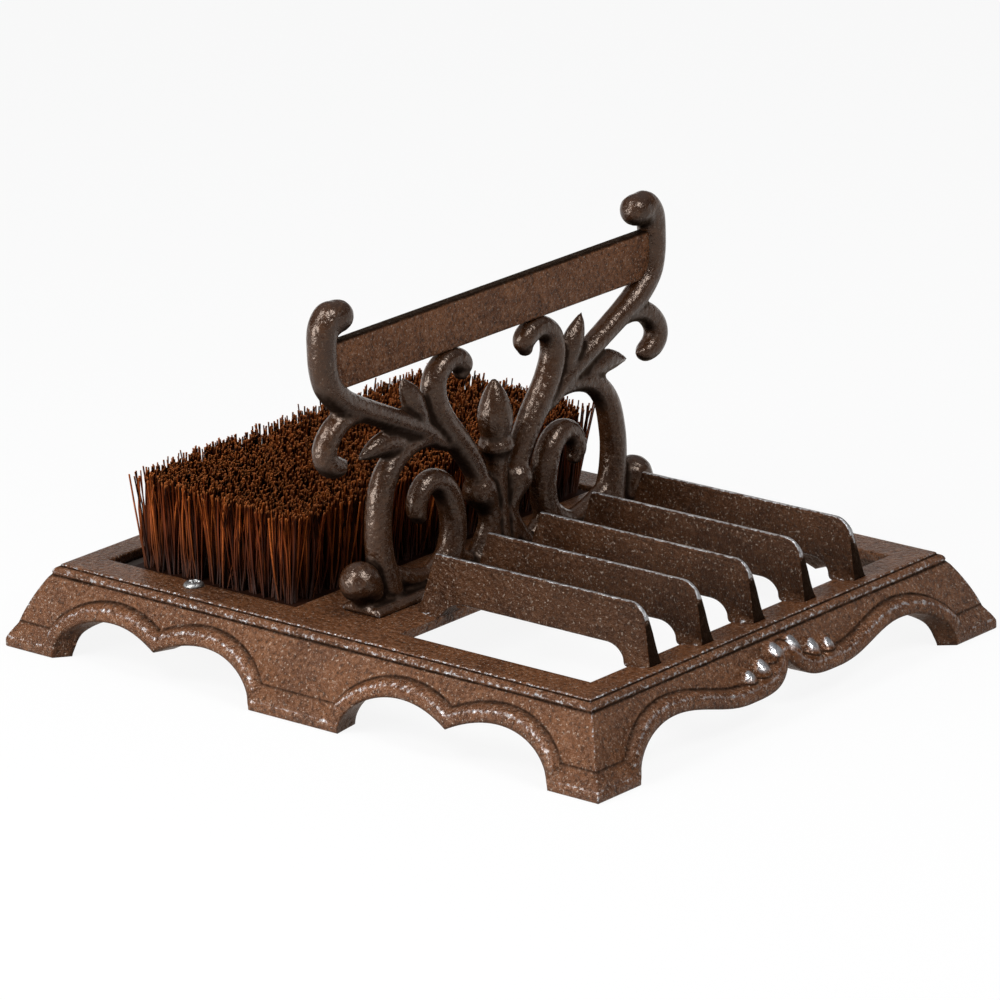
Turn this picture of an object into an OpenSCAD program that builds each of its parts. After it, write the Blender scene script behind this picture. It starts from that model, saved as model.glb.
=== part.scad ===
// Cast iron boot scraper. A scalloped base frame carries five scraper blades over
// one opening, a stiff brush in the other opening, and between the two a scroll
// upright with a flat bar for scraping soles. Millimetres, +Z up, origin on the
// floor under the middle of the frame, X along the long side.

/* [Base frame] */
// Length of the flat top, along X
top_l = 330; // [310:1:360]
// Width of the flat top, along Y
top_w = 254; // [240:1:290]
// Height of the flat top above the floor
base_h = 40; // [36:0.5:50]
// How far the skirts stand out from the top edge at the floor
flare = 18; // [12:0.5:24]
// How strongly the skirts bow outwards on their way down
bow = 0.6; // [0:0.05:0.8]
// Wall of the skirts, measured level
wall = 8; // [6:0.5:10]
// Thickness of the flat top
plate_t = 5; // [4:0.5:8]
// Width of the two long strips of the top
long_strip = 18; // [16:0.5:22]
// Width of the two short strips of the top
short_strip = 15; // [13:0.5:20]
// Length of the brush opening, along X
brush_open_l = 120; // [110:1:125]
// Length of the blade opening, along X
blade_open_l = 115; // [105:1:116]
// Height of the rounded moulding under the top edge
mould_h = 4; // [3:0.5:6]
// How far the moulding stands out from the top edge
mould_t = 3; // [2:0.25:4]
// Step from the moulding in to the skirt
mould_step = 0.75; // [0.25:0.25:1.5]

/* [Feet and scallops] */
// Width of the foot in the middle of each long side
centre_foot = 55; // [45:1:65]
// Width of each corner foot
corner_foot = 30; // [26:1:36]
// Height of the arch crowns above the floor
arch_h = 22; // [18:0.5:24]
// Distance from the end of a foot to its arch's crown
arch_run = 34; // [28:1:38]
// Height of the cusp between the two arches of a long side
cusp_h = 14.5; // [12:0.5:17]
// Height of the lowest points of the lobes on the short sides
lobe_h = 13.5; // [11:0.5:16]
// Distance of those points from the middle of the short side
lobe_y = 33; // [26:1:40]
// Height of the cusp between the two lobes
lobe_cusp_h = 24.5; // [20:0.5:26]
// Width of the raised rim along the scallops
rim_w = 7; // [4:0.5:8]
// Height of the raised band round each foot
foot_band = 8; // [6:0.5:10]
// How far the rim stands out over the skirt
rim_t = 2; // [1:0.25:3]
// Half the width of the largest leaf bead on a lobe
bead_r = 5; // [4:0.25:6]
// Half the length of the largest leaf bead
bead_l = 7; // [5:0.25:8]
// Spacing of the leaf beads along a lobe
bead_pitch = 11; // [10:0.5:13]

/* [Scraper blades] */
// Spacing of the blades, along Y
blade_pitch = 37.5; // [34:0.5:40]
// Height of the blades over the flat top
blade_h = 28.5; // [24:0.5:34]
// Thickness of a blade along its top edge
blade_top_t = 2.6; // [2:0.2:4]
// Thickness of a blade at its feet
blade_foot_t = 8.4; // [6:0.2:10]
// Free height under a blade, over the flat top
blade_gap_h = 6.5; // [4:0.5:9]
// Lean of a blade's end by the scroll
blade_lean = 9; // [4:0.5:12]
// Lean of a blade's outer end
blade_end_lean = 6; // [2:0.5:8]
// Radius of the outer top corner
blade_corner_r = 9.5; // [5:0.5:12]
// Distance of the outer end from the edge of the flat top
blade_inset = 5; // [4:0.5:8]
// Length of a blade's foot on the cross bar
blade_foot_l = 15; // [12:0.5:18]
// Length of the rounding from the foot on the cross bar up to the free lower edge
blade_toe = 11; // [6:0.5:14]
// Length of the same rounding at the outer foot
blade_end_toe = 15; // [8:0.5:18]
// Gap between the blades and the foot plate of the scroll
blade_clear = 6; // [3:0.5:8]

/* [Scroll upright] */
// Span of the scroll over the horns, between their middle lines
scroll_span = 235; // [215:1:240]
// Rise of the scroll over the flat top, to the top of the knobs
scroll_rise = 155; // [145:1:175]
// Radius of a plain stem
stem_r = 5; // [4.5:0.1:5.5]
// Thickness of the leaves, in shares of their width
leaf_depth = 0.7; // [0.5:0.05:1]
// Distance of the scroll's middle from the brush opening
scroll_set = 32; // [28:0.5:36]
// Width of the foot plate, along X
foot_w = 24; // [20:1:28]
// Length of the foot plate, along Y
foot_l = 200; // [194:1:206]
// Thickness of the foot plate
foot_t = 4; // [3:0.5:6]
// Height of the scraping bar
bar_h = 23.5; // [16:0.5:26]
// Thickness of the scraping bar
bar_t = 7; // [5:0.5:9]
// Bevel along the bar's upper edges
bar_bevel = 1.5; // [0.5:0.25:2]
// Radius of the round knobs on the horns
knob_r = 8; // [7:0.25:9]
// Radius of the balls at the two ends of the foot
ball_r = 10; // [8:0.25:11]

/* [Brush] */
// Height of the bristle tips over the flat top
tip_h = 43; // [30:1:50]
// Thickness of the wooden board under the frame
board_t = 12; // [9:0.5:14]
// Width of the board's margin under the cross bar
board_lap = 9; // [8:0.5:10]
// Gap between the board and the skirts, level with the underside of the flat top
board_clear = 1; // [0.5:0.25:2]
// Thickness of the slice of backing that the bristles stand in
backing_t = 3; // [2:0.5:4]
// Gap between the bristles' backing and the opening's outer end
brush_end_gap = 11; // [4:1:16]
// Gap between the bristles' backing and the opening's other sides
brush_gap = 2; // [1:0.5:4]
// Radius of a strand at its root
root_r = 2.2; // [1.5:0.1:2.4]
// Radius of a strand at its tip
tip_r = 1.3; // [0.8:0.1:1.6]

/* [Fasteners] */
// Diameter of the scroll's bolts
bolt_d = 6; // [5:0.5:8]
// Width of a bolt's hexagon head across its corners
bolt_head_d = 11; // [10:0.5:14]
// Height of a bolt's head
bolt_head_h = 4; // [3:0.5:6]
// Depth of a bolt in the foot of the scroll
bolt_grip = 10; // [6:0.5:12]
// Outer diameter of a bolt's washer
washer_d = 14; // [13:0.5:18]
// Thickness of a bolt's washer
washer_t = 1.6; // [1:0.1:2.5]
// Diameter of the brush screws
screw_d = 4; // [3:0.5:5]
// Diameter of the brush screws' heads
screw_head_d = 10; // [8:0.5:11]
// Height of the brush screws' heads
screw_head_h = 2.5; // [1.5:0.25:3.5]
// Depth of a brush screw in the board
screw_grip = 9; // [6:0.5:9]
// Distance of a brush screw from the opening's edge
screw_edge = 5.5; // [5:0.25:6.5]
// Clearance round every bolt and screw
hole_clear = 0.3; // [0.2:0.05:0.5]

/* [Hidden] */

iron = [0.27, 0.19, 0.15];
steel = [0.45, 0.44, 0.42];
timber = [0.62, 0.45, 0.28];
fibre = [0.42, 0.17, 0.06];

$fn = 48;
// Overrun of every cut past the face it opens
over = 1;

// Base frame, derived
skirt_top = base_h - mould_h;
skirt_steps = 5;
mould_steps = 4;
under_top = base_h - plate_t;
reach_l = top_l / 2 + flare + rim_t;
reach_w = top_w / 2 + flare + rim_t;
open_w = top_w - 2 * long_strip;
brush_x0 = -top_l / 2 + short_strip;
brush_x1 = brush_x0 + brush_open_l;
blade_open_x1 = top_l / 2 - short_strip;
blade_open_x0 = blade_open_x1 - blade_open_l;

// Scallops, derived: ends of the feet and middles of the arches
foot_x0 = centre_foot / 2;
foot_x1 = reach_l - corner_foot;
foot_y1 = reach_w - corner_foot;
cusp_x = (foot_x0 + foot_x1) / 2;
crown_x = foot_x0 + arch_run;
crown_y = foot_y1 - arch_run;
arch_steps = 8;
lobe_power = 4;

// Leaf beads, derived: each is smaller than the one before it and leans away from the cusp
bead_count = 3;
bead_shrink = 0.1;
bead_lean = 6;

// Scroll, derived: the ornament is drawn on a grid over its span and its rise
grid_columns = 230;
grid_rows = 155;
bar_row = 112;
arm_column = 81;
scroll_x = brush_x1 + scroll_set;
bolt_y = arm_column * scroll_span / grid_columns;
tube_sides = 8;
tube_steps = 3;
knob_neck = 0.88;

// Blades, derived
blade_count = 5;
blade_x0 = scroll_x + foot_w / 2 + blade_clear;
blade_x1 = top_l / 2 - blade_inset;
round_step = 15;

// Brush, derived: the board fits the hollow under the top
board_x0 = -hollow_half(top_l) + board_clear;
board_l = brush_x1 + board_lap - board_x0;
board_w = 2 * (hollow_half(top_w) - board_clear);
bristle_x0 = brush_x0 + brush_end_gap;
bristle_l = brush_x1 - brush_gap - bristle_x0;
bristle_w = open_w - 2 * brush_gap;
strands_x = 15;
strands_y = 28;
strand_wander = 0.1;
strand_spread = 1.03;
tip_uneven = 0.07;
wander_seed = 7;
tip_seed = 11;
screw_x = (brush_x0 + brush_x1) / 2;
screw_y = open_w / 2 + screw_edge;
screw_crown = 0.7;
slot_share = 0.6;
slot_thin = 0.14;

// How far the skirt's outer face stands out from the top edge, at height z: a slope that bows out
function skirt_out(z) =
    let (fall = 1 - z / skirt_top, start = mould_t - mould_step)
        start + (flare - start) * fall * (1 + bow * (1 - fall));

// Half the hollow under the flat top, along a side of the given length
function hollow_half(side) = side / 2 + skirt_out(under_top) - wall;

// Block lofted over the flat top's rectangle, through levels of [reach beyond the top edge, height]
module lofted(levels) {
    points = [
        for (level = levels)
            let (l = top_l / 2 + level[0], w = top_w / 2 + level[0], z = level[1])
                each [[-l, -w, z], [l, -w, z], [l, w, z], [-l, w, z]]
    ];
    last = 4 * (len(levels) - 1);
    sides = [
        for (i = [0 : 4 : last - 4])
            for (k = [0 : 3])
                let (a = i + k, b = i + (k + 1) % 4)
                    [a, a + 4, b + 4, b]
    ];
    polyhedron(
        points = points,
        faces = concat([[0, 1, 2, 3]], sides, [[last + 3, last + 2, last + 1, last]])
    );
}

// Block with the bowed slope of the skirts between two heights, grown outwards by grow
module skirt_block(z0, z1, grow) {
    lofted([
        for (k = [0 : skirt_steps])
            let (z = z0 + (z1 - z0) * k / skirt_steps)
                [skirt_out(z) + grow, z]
    ]);
}

// Rounded moulding under the top edge: a quarter of an ellipse
module moulding() {
    lofted([
        for (k = [mould_steps : -1 : 0])
            let (a = 90 * k / mould_steps)
                [mould_t * sin(a), skirt_top + mould_h * cos(a)]
    ]);
}

// Quarter ellipse that rises from a foot's end at x0 to the arch's crown, grown by grow
function flank(x0, grow) = [
    for (a = [0 : 90 / arch_steps : 90])
        [x0 - grow + (arch_run + grow) * (1 - cos(a)), (arch_h + grow) * sin(a)]
];

// One arch of a long side from its foot to the cusp: the flank, then a parabola
function long_half(grow) = concat(
    flank(foot_x0, grow),
    [
        for (k = [1 : arch_steps])
            let (t = k / arch_steps)
                [crown_x + (cusp_x - crown_x) * t, arch_h + grow - (arch_h - cusp_h) * t * t]
    ]
);

// Both arches between the middle foot and a corner foot, mirrored about the cusp
function long_arches(grow) =
    let (half = long_half(grow), n = len(half))
        concat(
            [[half[0][0], -over]],
            half,
            [for (i = [n - 2 : -1 : 0]) [2 * cusp_x - half[i][0], half[i][1]]],
            [[2 * cusp_x - half[0][0], -over]]
        );

// Height of a short side's lower edge at y: a steep fall from the cusp to the lobe, then a soft wave
function lobe_z(y) =
    y < lobe_y
        ? lobe_h + (lobe_cusp_h - lobe_h) * pow(1 - y / lobe_y, lobe_power)
        : lobe_h + (arch_h - lobe_h) * (1 - cos(180 * (y - lobe_y) / (crown_y - lobe_y))) / 2;

// Half of a short side's lower edge, from the middle out to the corner foot
function short_half(grow) = concat(
    [for (k = [0 : arch_steps - 1]) let (y = lobe_y * k / arch_steps) [y, lobe_z(y) + grow]],
    [
        for (k = [0 : arch_steps - 1])
            let (y = lobe_y + (crown_y - lobe_y) * k / arch_steps)
                [y, lobe_z(y) + grow]
    ],
    [
        for (a = [90 : -90 / arch_steps : 0])
            [crown_y + (arch_run + grow) * cos(a), (arch_h + grow) * sin(a)]
    ],
    [[foot_y1 + grow, -over]]
);

// The whole lower edge of a short side, closed below the floor
function short_arches(grow) =
    let (half = short_half(grow), n = len(half))
        concat([for (i = [n - 1 : -1 : 1]) [-half[i][0], half[i][1]]], half);

// Runs a profile drawn in X and Z through the frame from front to back
module through_long() {
    rotate([90, 0, 0])
        linear_extrude(height = 2 * (reach_w + over), center = true)
            children();
}

// Runs a profile drawn in Y and Z through the frame from end to end
module through_short() {
    rotate([90, 0, 90])
        linear_extrude(height = 2 * (reach_l + over), center = true)
            children();
}

// Everything under the scallops, grown by grow: the cut-outs, or the rim's zone
module scallops(grow) {
    through_long()
        for (side = [0, 1])
            mirror([side, 0, 0])
                polygon(long_arches(grow));
    through_short()
        polygon(short_arches(grow));
}

// Raised rim: the skirt grown by its thickness, kept along the scallops and the feet
module rim() {
    intersection() {
        skirt_block(0, skirt_top, rim_t);
        union() {
            scallops(rim_w);
            translate([-reach_l - over, -reach_w - over, -over])
                cube([2 * (reach_l + over), 2 * (reach_w + over), foot_band + over]);
        }
    }
}

// Leaf bead: a half ellipse turned about its long axis
module leaf_bead(half_l, half_w) {
    rotate_extrude($fn = 24)
        polygon([for (a = [-90 : round_step : 90]) [half_w * cos(a), half_l * sin(a)]]);
}

// Rows of leaf beads on the lobes of the short sides, laid on the slope of the skirt over the rim
module lobe_beads() {
    for (end = [0, 1])
        for (side = [0, 1])
            for (i = [0 : bead_count - 1]) {
                size = 1 - bead_shrink * i;
                y = bead_pitch * (i + 0.5);
                z = lobe_z(y) + rim_w + size * bead_l / 2;
                slope = atan((skirt_out(z - over) - skirt_out(z + over)) / (2 * over));
                mirror([end, 0, 0])
                    mirror([0, side, 0])
                        translate([top_l / 2 + skirt_out(z), y, z])
                            rotate([-bead_lean, -slope, 0])
                                leaf_bead(size * bead_l, size * bead_r);
            }
}

// Base casting: flat top with two openings, bowed skirts, scalloped feet
module base_frame() {
    color(iron)
        difference() {
            union() {
                skirt_block(0, skirt_top, 0);
                moulding();
                rim();
                lobe_beads();
            }
            skirt_block(-over, under_top, -wall);
            scallops(0);
            translate([brush_x0, -open_w / 2, under_top - over])
                cube([brush_open_l, open_w, plate_t + 2 * over]);
            translate([blade_open_x0, -open_w / 2, under_top - over])
                cube([blade_open_l, open_w, plate_t + 2 * over]);
            for (side = [-1, 1]) {
                translate([scroll_x, side * bolt_y, under_top - over])
                    cylinder(d = bolt_d + 2 * hole_clear, h = plate_t + 2 * over);
                translate([screw_x, side * screw_y, under_top - over])
                    cylinder(d = screw_d + 2 * hole_clear, h = plate_t + 2 * over);
            }
        }
}

// Place of a blade's leaning outer end at height z over the flat top
function blade_end(z) = blade_x1 - blade_end_lean * z / blade_h;

// Rounding of a blade's lower edge, as [way from the foot, height], from the foot up
function toe_curve(length) = [
    for (a = [0 : round_step : 90])
        [length * (1 - cos(a)), blade_gap_h * sin(a)]
];

// Side view of a blade in X and Z, from the flat top up
function blade_outline() =
    let (toe = toe_curve(blade_toe), end_toe = toe_curve(blade_end_toe), n = len(toe))
        concat(
            [[blade_x0, 0], [blade_x0 + blade_lean, blade_h]],
            [
                for (a = [90 : -round_step : 0])
                    let (z = blade_h - blade_corner_r * (1 - sin(a)))
                        [blade_end(z) - blade_corner_r * (1 - cos(a)), z]
            ],
            [[blade_x1, 0]],
            [for (p = end_toe) [blade_open_x1 - p[0], p[1]]],
            [for (i = [n - 1 : -1 : 0]) [blade_x0 + blade_foot_l + toe[i][0], toe[i][1]]]
        );

// One scraper blade: a wedge section cut to the side view, standing on the frame at both ends
module scraper_blade(i) {
    color(iron)
        translate([0, (i - (blade_count + 1) / 2) * blade_pitch, base_h])
            intersection() {
                rotate([90, 0, 0])
                    linear_extrude(height = blade_foot_t + 2 * over, center = true)
                        polygon(blade_outline());
                translate([blade_x0 - over, 0, 0])
                    rotate([90, 0, 90])
                        linear_extrude(height = blade_x1 - blade_x0 + 2 * over)
                            polygon([
                                [-blade_foot_t / 2, 0], [blade_foot_t / 2, 0],
                                [blade_top_t / 2, blade_h], [-blade_top_t / 2, blade_h]
                            ]);
            }
}

// Point on a smooth curve through four guide points, at t between the middle two
function curve_point(a, b, c, d, t) =
    (2 * b + (c - a) * t + (2 * a - 5 * b + 4 * c - d) * t * t + (3 * b - a - 3 * c + d) * t * t * t) / 2;

// Smooth curve through guide points of [across, up, radius]
function curve(guide) =
    let (n = len(guide) - 1)
        concat(
            [
                for (i = [0 : n - 1])
                    for (k = [0 : tube_steps - 1])
                        curve_point(
                            guide[max(i - 1, 0)], guide[i], guide[i + 1], guide[min(i + 2, n)],
                            k / tube_steps
                        )
            ],
            [guide[n]]
        );

// Guide points of [column, row, thickness in stem radii] at the scroll's real span, rise and stem
function on_grid(guide) = [
    for (p = guide)
        [p[0] * scroll_span / grid_columns, p[1] * scroll_rise / grid_rows, p[2] * stem_r]
];

// Tapering stem along a smooth curve in the scroll's plane, depth times as thick as wide
module stem(guide, depth = 1) {
    path = curve(on_grid(guide));
    last = len(path) - 1;
    rings = [
        for (i = [0 : last])
            let (
                ahead = path[min(i + 1, last)],
                behind = path[max(i - 1, 0)],
                run = norm([ahead[0] - behind[0], ahead[1] - behind[1]]),
                side = [-(ahead[1] - behind[1]) / run, (ahead[0] - behind[0]) / run],
                r = path[i][2]
            )
                for (k = [0 : tube_sides - 1])
                    let (a = 360 * k / tube_sides)
                        [
                            depth * r * cos(a),
                            path[i][0] + side[0] * r * sin(a),
                            path[i][1] + side[1] * r * sin(a)
                        ]
    ];
    walls = [
        for (i = [0 : last - 1])
            for (k = [0 : tube_sides - 1])
                let (
                    a = i * tube_sides + k,
                    b = i * tube_sides + (k + 1) % tube_sides
                )
                    each [[a, b, b + tube_sides], [a, b + tube_sides, a + tube_sides]]
    ];
    start = [for (k = [tube_sides - 1 : -1 : 0]) k];
    end = [for (k = [0 : tube_sides - 1]) last * tube_sides + k];
    polyhedron(points = rings, faces = concat(walls, [start, end]));
}

// Ball of radius r at a point of the grid
module grid_ball(column, row, r) {
    translate([0, column * scroll_span / grid_columns, row * scroll_rise / grid_rows])
        sphere(r = r, $fn = 16);
}

// Horn with its knob, running down into the stem that crosses to the middle
module horn() {
    stem([
        [107, 147, 1.3], [111, 147.5, 1.44], [115, 141.5, 1.44], [116, 132, 1.38], [115.5, 123, 1.36],
        [112.5, 114, 1.36], [104.5, 105.5, 1.32], [95, 100, 1.22], [85, 95, 1.16], [64, 84.5, 1.1],
        [50, 77, 1.02], [40, 69.5, 0.9], [29, 63, 0.5]
    ]);
    hull() {
        grid_ball(105, 147, knob_r);
        grid_ball(110, 145, knob_neck * knob_r);
    }
}

// Hooked trunk: curls under the bar and runs down to the foot beside the middle stem
module trunk() {
    stem([
        [22.5, 98.5, 0.8], [22, 102, 1.12], [25.5, 105.5, 1.16], [33, 106.5, 1.16], [40.5, 101, 1.2],
        [42, 91, 1.26], [37.5, 80, 1.3], [31.5, 71.5, 1.32], [26, 64.5, 1.32], [19.5, 55.5, 1.24],
        [14.5, 46, 1.12], [10.5, 35, 1], [7, 22, 1], [5, 3, 1.2]
    ]);
}

// Curl that hangs from the outside of the stem, below the horn
module outer_curl() {
    stem([
        [90, 95.5, 0.8], [100, 97, 1], [109, 94.5, 1.12], [115.5, 88, 1.18], [117, 81.5, 1.18],
        [114, 77, 1.16], [110, 75.2, 1.08], [106.8, 75, 0.9], [104.8, 75.4, 0.5]
    ]);
}

// Two pointed leaves beside the stem
module leaves() {
    stem([[46, 74, 0.6], [52, 84, 1.16], [57, 94, 1.32], [61, 101, 0.8], [63, 106, 0.12]], leaf_depth);
    stem([[52, 71.5, 0.7], [66, 75.5, 1.12], [78, 77.5, 1.28], [87, 76.5, 0.88], [95, 74.5, 0.12]], leaf_depth);
}

// Large arm that rises from the foot plate and bends over to the middle
module arm() {
    stem([
        [30, 64.5, 0.44], [43, 71.5, 0.84], [55, 73, 0.96], [66.5, 70.5, 1.1], [74.5, 65, 1.2], [80, 56.5, 1.26],
        [82.5, 46, 1.3], [83.5, 35, 1.32], [82.5, 23, 1.36], [80, 12, 1.46], [78.5, 3, 1.6]
    ]);
    hull() {
        grid_ball(80, 22, 0.9 * stem_r);
        grid_ball(80, 7, stem_r);
        grid_ball(66, 9, stem_r);
    }
    hull() {
        grid_ball(68, 8.4, 0.94 * stem_r);
        grid_ball(67, 5.4, 0.94 * stem_r);
        grid_ball(48.6, 4.7, 0.94 * stem_r);
    }
}

// Ball at the end of the foot, drawn down onto the foot plate
module foot_ball() {
    hull() {
        grid_ball(97, 15.5, ball_r);
        grid_ball(90, 8, 1.2 * stem_r);
    }
}

// Inner hook beside the middle stem, with the low wall at its foot
module inner_hook() {
    stem([
        [55, 36, 0.76], [56.5, 39, 1], [56, 44.5, 1.06], [51.5, 50, 1.1], [45, 51, 1.2], [38.5, 47, 1.28],
        [34, 39, 1.32], [32, 30, 1.32], [32.5, 20, 1.32], [36.5, 10, 1.36], [39, 3, 1.4]
    ]);
    hull() {
        grid_ball(36, 16, stem_r);
        grid_ball(51, 4.4, stem_r);
        grid_ball(22, 4.6, 0.8 * stem_r);
    }
}

// Short hook between the inner hook and the middle stem: a splayed leg and a thick knob
module short_hook() {
    stem([[16, 3, 1.34], [12.5, 9, 1.16], [8, 17, 1.06], [5, 25, 1.02]]);
    stem([[5, 22, 0.9], [8, 29, 1.2], [12, 36, 1.64], [14, 39, 1.6], [16, 41.8, 1.26], [17.2, 43.4, 0.7]]);
}

// Middle stem with its collar and the pointed bud on top
module middle_stem() {
    stem([
        [0, 3, 1.4], [0, 14, 1.12], [0, 30, 1], [0, 46, 1], [0, 52, 1.3], [0, 55.5, 1.74], [0, 58.5, 1.7],
        [0, 61, 1.4], [0, 66, 1.66], [0, 72.5, 1.7], [0, 80.5, 1.24], [0, 86.5, 0.62], [0, 89.5, 0.12]
    ]);
}

// Bar of a profile drawn in X and Z, carried straight along Y
module straight_bar(length, profile) {
    rotate([90, 0, 0])
        linear_extrude(height = length, center = true)
            polygon(profile);
}

// Flat foot plate with sloping edges
module foot_plate() {
    bevel = foot_t / 2;
    straight_bar(foot_l, [
        [-foot_w / 2, 0], [foot_w / 2, 0], [foot_w / 2 - bevel, foot_t], [bevel - foot_w / 2, foot_t]
    ]);
}

// Flat scraping bar between the horns, with bevelled upper edges
module scraping_bar() {
    translate([0, 0, bar_row * scroll_rise / grid_rows])
        straight_bar(scroll_span, [
            [-bar_t / 2, 0], [bar_t / 2, 0], [bar_t / 2, bar_h - bar_bevel], [bar_t / 2 - bar_bevel, bar_h],
            [bar_bevel - bar_t / 2, bar_h], [-bar_t / 2, bar_h - bar_bevel]
        ]);
}

// Horns, stems, leaves, curls, bar and foot plate, grown together in one casting
module scroll_casting() {
    for (side = [0, 1])
        mirror([0, side, 0]) {
            horn();
            trunk();
            outer_curl();
            leaves();
            arm();
            foot_ball();
            inner_hook();
            short_hook();
        }
    middle_stem();
    foot_plate();
    scraping_bar();
}

// Scroll upright: the casting cut level with its seat and drilled from below for the bolts
module scroll_upright() {
    color(iron)
        translate([scroll_x, 0, base_h])
            difference() {
                scroll_casting();
                translate([-foot_w, -scroll_span, -2 * foot_w])
                    cube([2 * foot_w, 2 * scroll_span, 2 * foot_w]);
                for (side = [-1, 1])
                    translate([0, side * bolt_y, -over])
                        cylinder(d = bolt_d + 2 * hole_clear, h = bolt_grip + hole_clear + over, $fn = 24);
            }
}

// Hexagon bolts from under the cross bar into the foot of the scroll
module scroll_bolts() {
    head_top = under_top - washer_t;
    color(steel)
        for (side = [-1, 1])
            translate([scroll_x, side * bolt_y, head_top]) {
                translate([0, 0, -bolt_head_h])
                    cylinder(d = bolt_head_d, h = bolt_head_h, $fn = 6);
                cylinder(d = bolt_d, h = washer_t + plate_t + bolt_grip);
            }
}

// Flat washers between the bolts' heads and the cross bar
module scroll_washers() {
    color(steel)
        for (side = [-1, 1])
            translate([scroll_x, side * bolt_y, under_top - washer_t])
                difference() {
                    cylinder(d = washer_d, h = washer_t);
                    translate([0, 0, -over])
                        cylinder(d = bolt_d + 2 * hole_clear, h = washer_t + 2 * over);
                }
}

// Wooden board of the brush, screwed up against the underside of the frame
module brush_board() {
    color(timber)
        difference() {
            translate([board_x0, -board_w / 2, under_top - board_t])
                cube([board_l, board_w, board_t]);
            for (side = [-1, 1])
                translate([screw_x, side * screw_y, under_top - screw_grip - hole_clear])
                    cylinder(d = screw_d + 2 * hole_clear, h = screw_grip + hole_clear + over);
        }
}

// Stiff fibre bristles: three-sided strands that rise from one slice of backing
module brush_bristles() {
    cell_x = bristle_l / strands_x;
    cell_y = bristle_w / strands_y;
    root_z = under_top + backing_t;
    strands = strands_x * strands_y;
    wander = rands(-strand_wander * cell_x, strand_wander * cell_x, 2 * strands, wander_seed);
    uneven = rands(-tip_uneven * tip_h, 0, strands, tip_seed);
    corners = [
        for (j = [0 : strands_y])
            for (i = [0 : strands_x])
                [bristle_x0 + i * cell_x, -bristle_w / 2 + j * cell_y, root_z]
    ];
    mid_x = bristle_x0 + bristle_l / 2;
    hairs = [
        for (j = [0 : strands_y - 1])
            for (i = [0 : strands_x - 1])
                let (
                    s = j * strands_x + i,
                    x = bristle_x0 + (i + 0.5) * cell_x,
                    y = -bristle_w / 2 + (j + 0.5) * cell_y,
                    tip = [
                        mid_x + (x - mid_x) * strand_spread + wander[2 * s],
                        y * strand_spread + wander[2 * s + 1],
                        base_h + tip_h + uneven[s]
                    ]
                )
                    each concat(
                        [for (a = [90, 210, 330]) [x + root_r * cos(a), y + root_r * sin(a), root_z]],
                        [for (a = [90, 210, 330]) tip + tip_r * [cos(a), sin(a), 0]]
                    )
    ];
    floor_corners = [
        for (p = [[0, 0], [strands_x, 0], [strands_x, strands_y], [0, strands_y]])
            [bristle_x0 + p[0] * cell_x, -bristle_w / 2 + p[1] * cell_y, under_top]
    ];
    row = strands_x + 1;
    hair0 = row * (strands_y + 1);
    low = hair0 + 6 * strands;
    tops = [
        for (j = [0 : strands_y - 1])
            for (i = [0 : strands_x - 1])
                let (
                    a = j * row + i,
                    b = a + 1,
                    c = b + row,
                    d = a + row,
                    t = hair0 + 6 * (j * strands_x + i)
                )
                    each [
                        [a, b, t + 2], [a, t + 2, t + 1], [b, c, t + 2], [c, t, t + 2],
                        [c, d, t], [d, a, t + 1], [d, t + 1, t],
                        [t, t + 1, t + 4], [t, t + 4, t + 3], [t + 1, t + 2, t + 5],
                        [t + 1, t + 5, t + 4], [t + 2, t, t + 3], [t + 2, t + 3, t + 5],
                        [t + 3, t + 4, t + 5]
                    ]
    ];
    back_row = strands_y * row;
    edges = concat(
        [for (i = [0 : strands_x - 1]) [low, i + 1, i]],
        [[low, low + 1, strands_x]],
        [for (j = [0 : strands_y - 1]) [low + 1, (j + 1) * row + strands_x, j * row + strands_x]],
        [[low + 1, low + 2, back_row + strands_x]],
        [for (i = [0 : strands_x - 1]) [low + 2, back_row + i, back_row + i + 1]],
        [[low + 2, low + 3, back_row]],
        [for (j = [0 : strands_y - 1]) [low + 3, j * row, (j + 1) * row]],
        [[low + 3, low, 0]],
        [[low, low + 2, low + 1], [low, low + 3, low + 2]]
    );
    color(fibre)
        polyhedron(
            points = concat(corners, hairs, floor_corners),
            faces = [for (f = concat(tops, edges)) [f[2], f[1], f[0]]]
        );
}

// Cross-head screws through the long strips into the board
module brush_screws() {
    slot_w = slot_thin * screw_head_d;
    slot_l = slot_share * screw_head_d;
    slot_h = screw_head_h / 2;
    color(steel)
        for (side = [-1, 1])
            translate([screw_x, side * screw_y, base_h]) {
                difference() {
                    cylinder(d1 = screw_head_d, d2 = screw_crown * screw_head_d, h = screw_head_h);
                    for (turn = [0, 90])
                        rotate([0, 0, turn])
                            translate([-slot_l / 2, -slot_w / 2, screw_head_h - slot_h])
                                cube([slot_l, slot_w, slot_h + over]);
                }
                translate([0, 0, -plate_t - screw_grip])
                    cylinder(d = screw_d, h = plate_t + screw_grip);
            }
}

base_frame();
scraper_blade(1);  // scraper_blade_1
scraper_blade(2);  // scraper_blade_2
scraper_blade(3);  // scraper_blade_3
scraper_blade(4);  // scraper_blade_4
scraper_blade(5);  // scraper_blade_5
scroll_upright();
scroll_bolts();
scroll_washers();
brush_board();
brush_bristles();
brush_screws();
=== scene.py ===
"""Cast iron boot scraper: frame, five blades, scroll upright and brush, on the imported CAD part.

Sizes below are in millimetres and become metres as each mesh is made. X runs along the long side,
from the brush to the blades, Y along the row of blades, and Z up from the floor.
"""
from math import cos, pi, radians, sin

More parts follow.
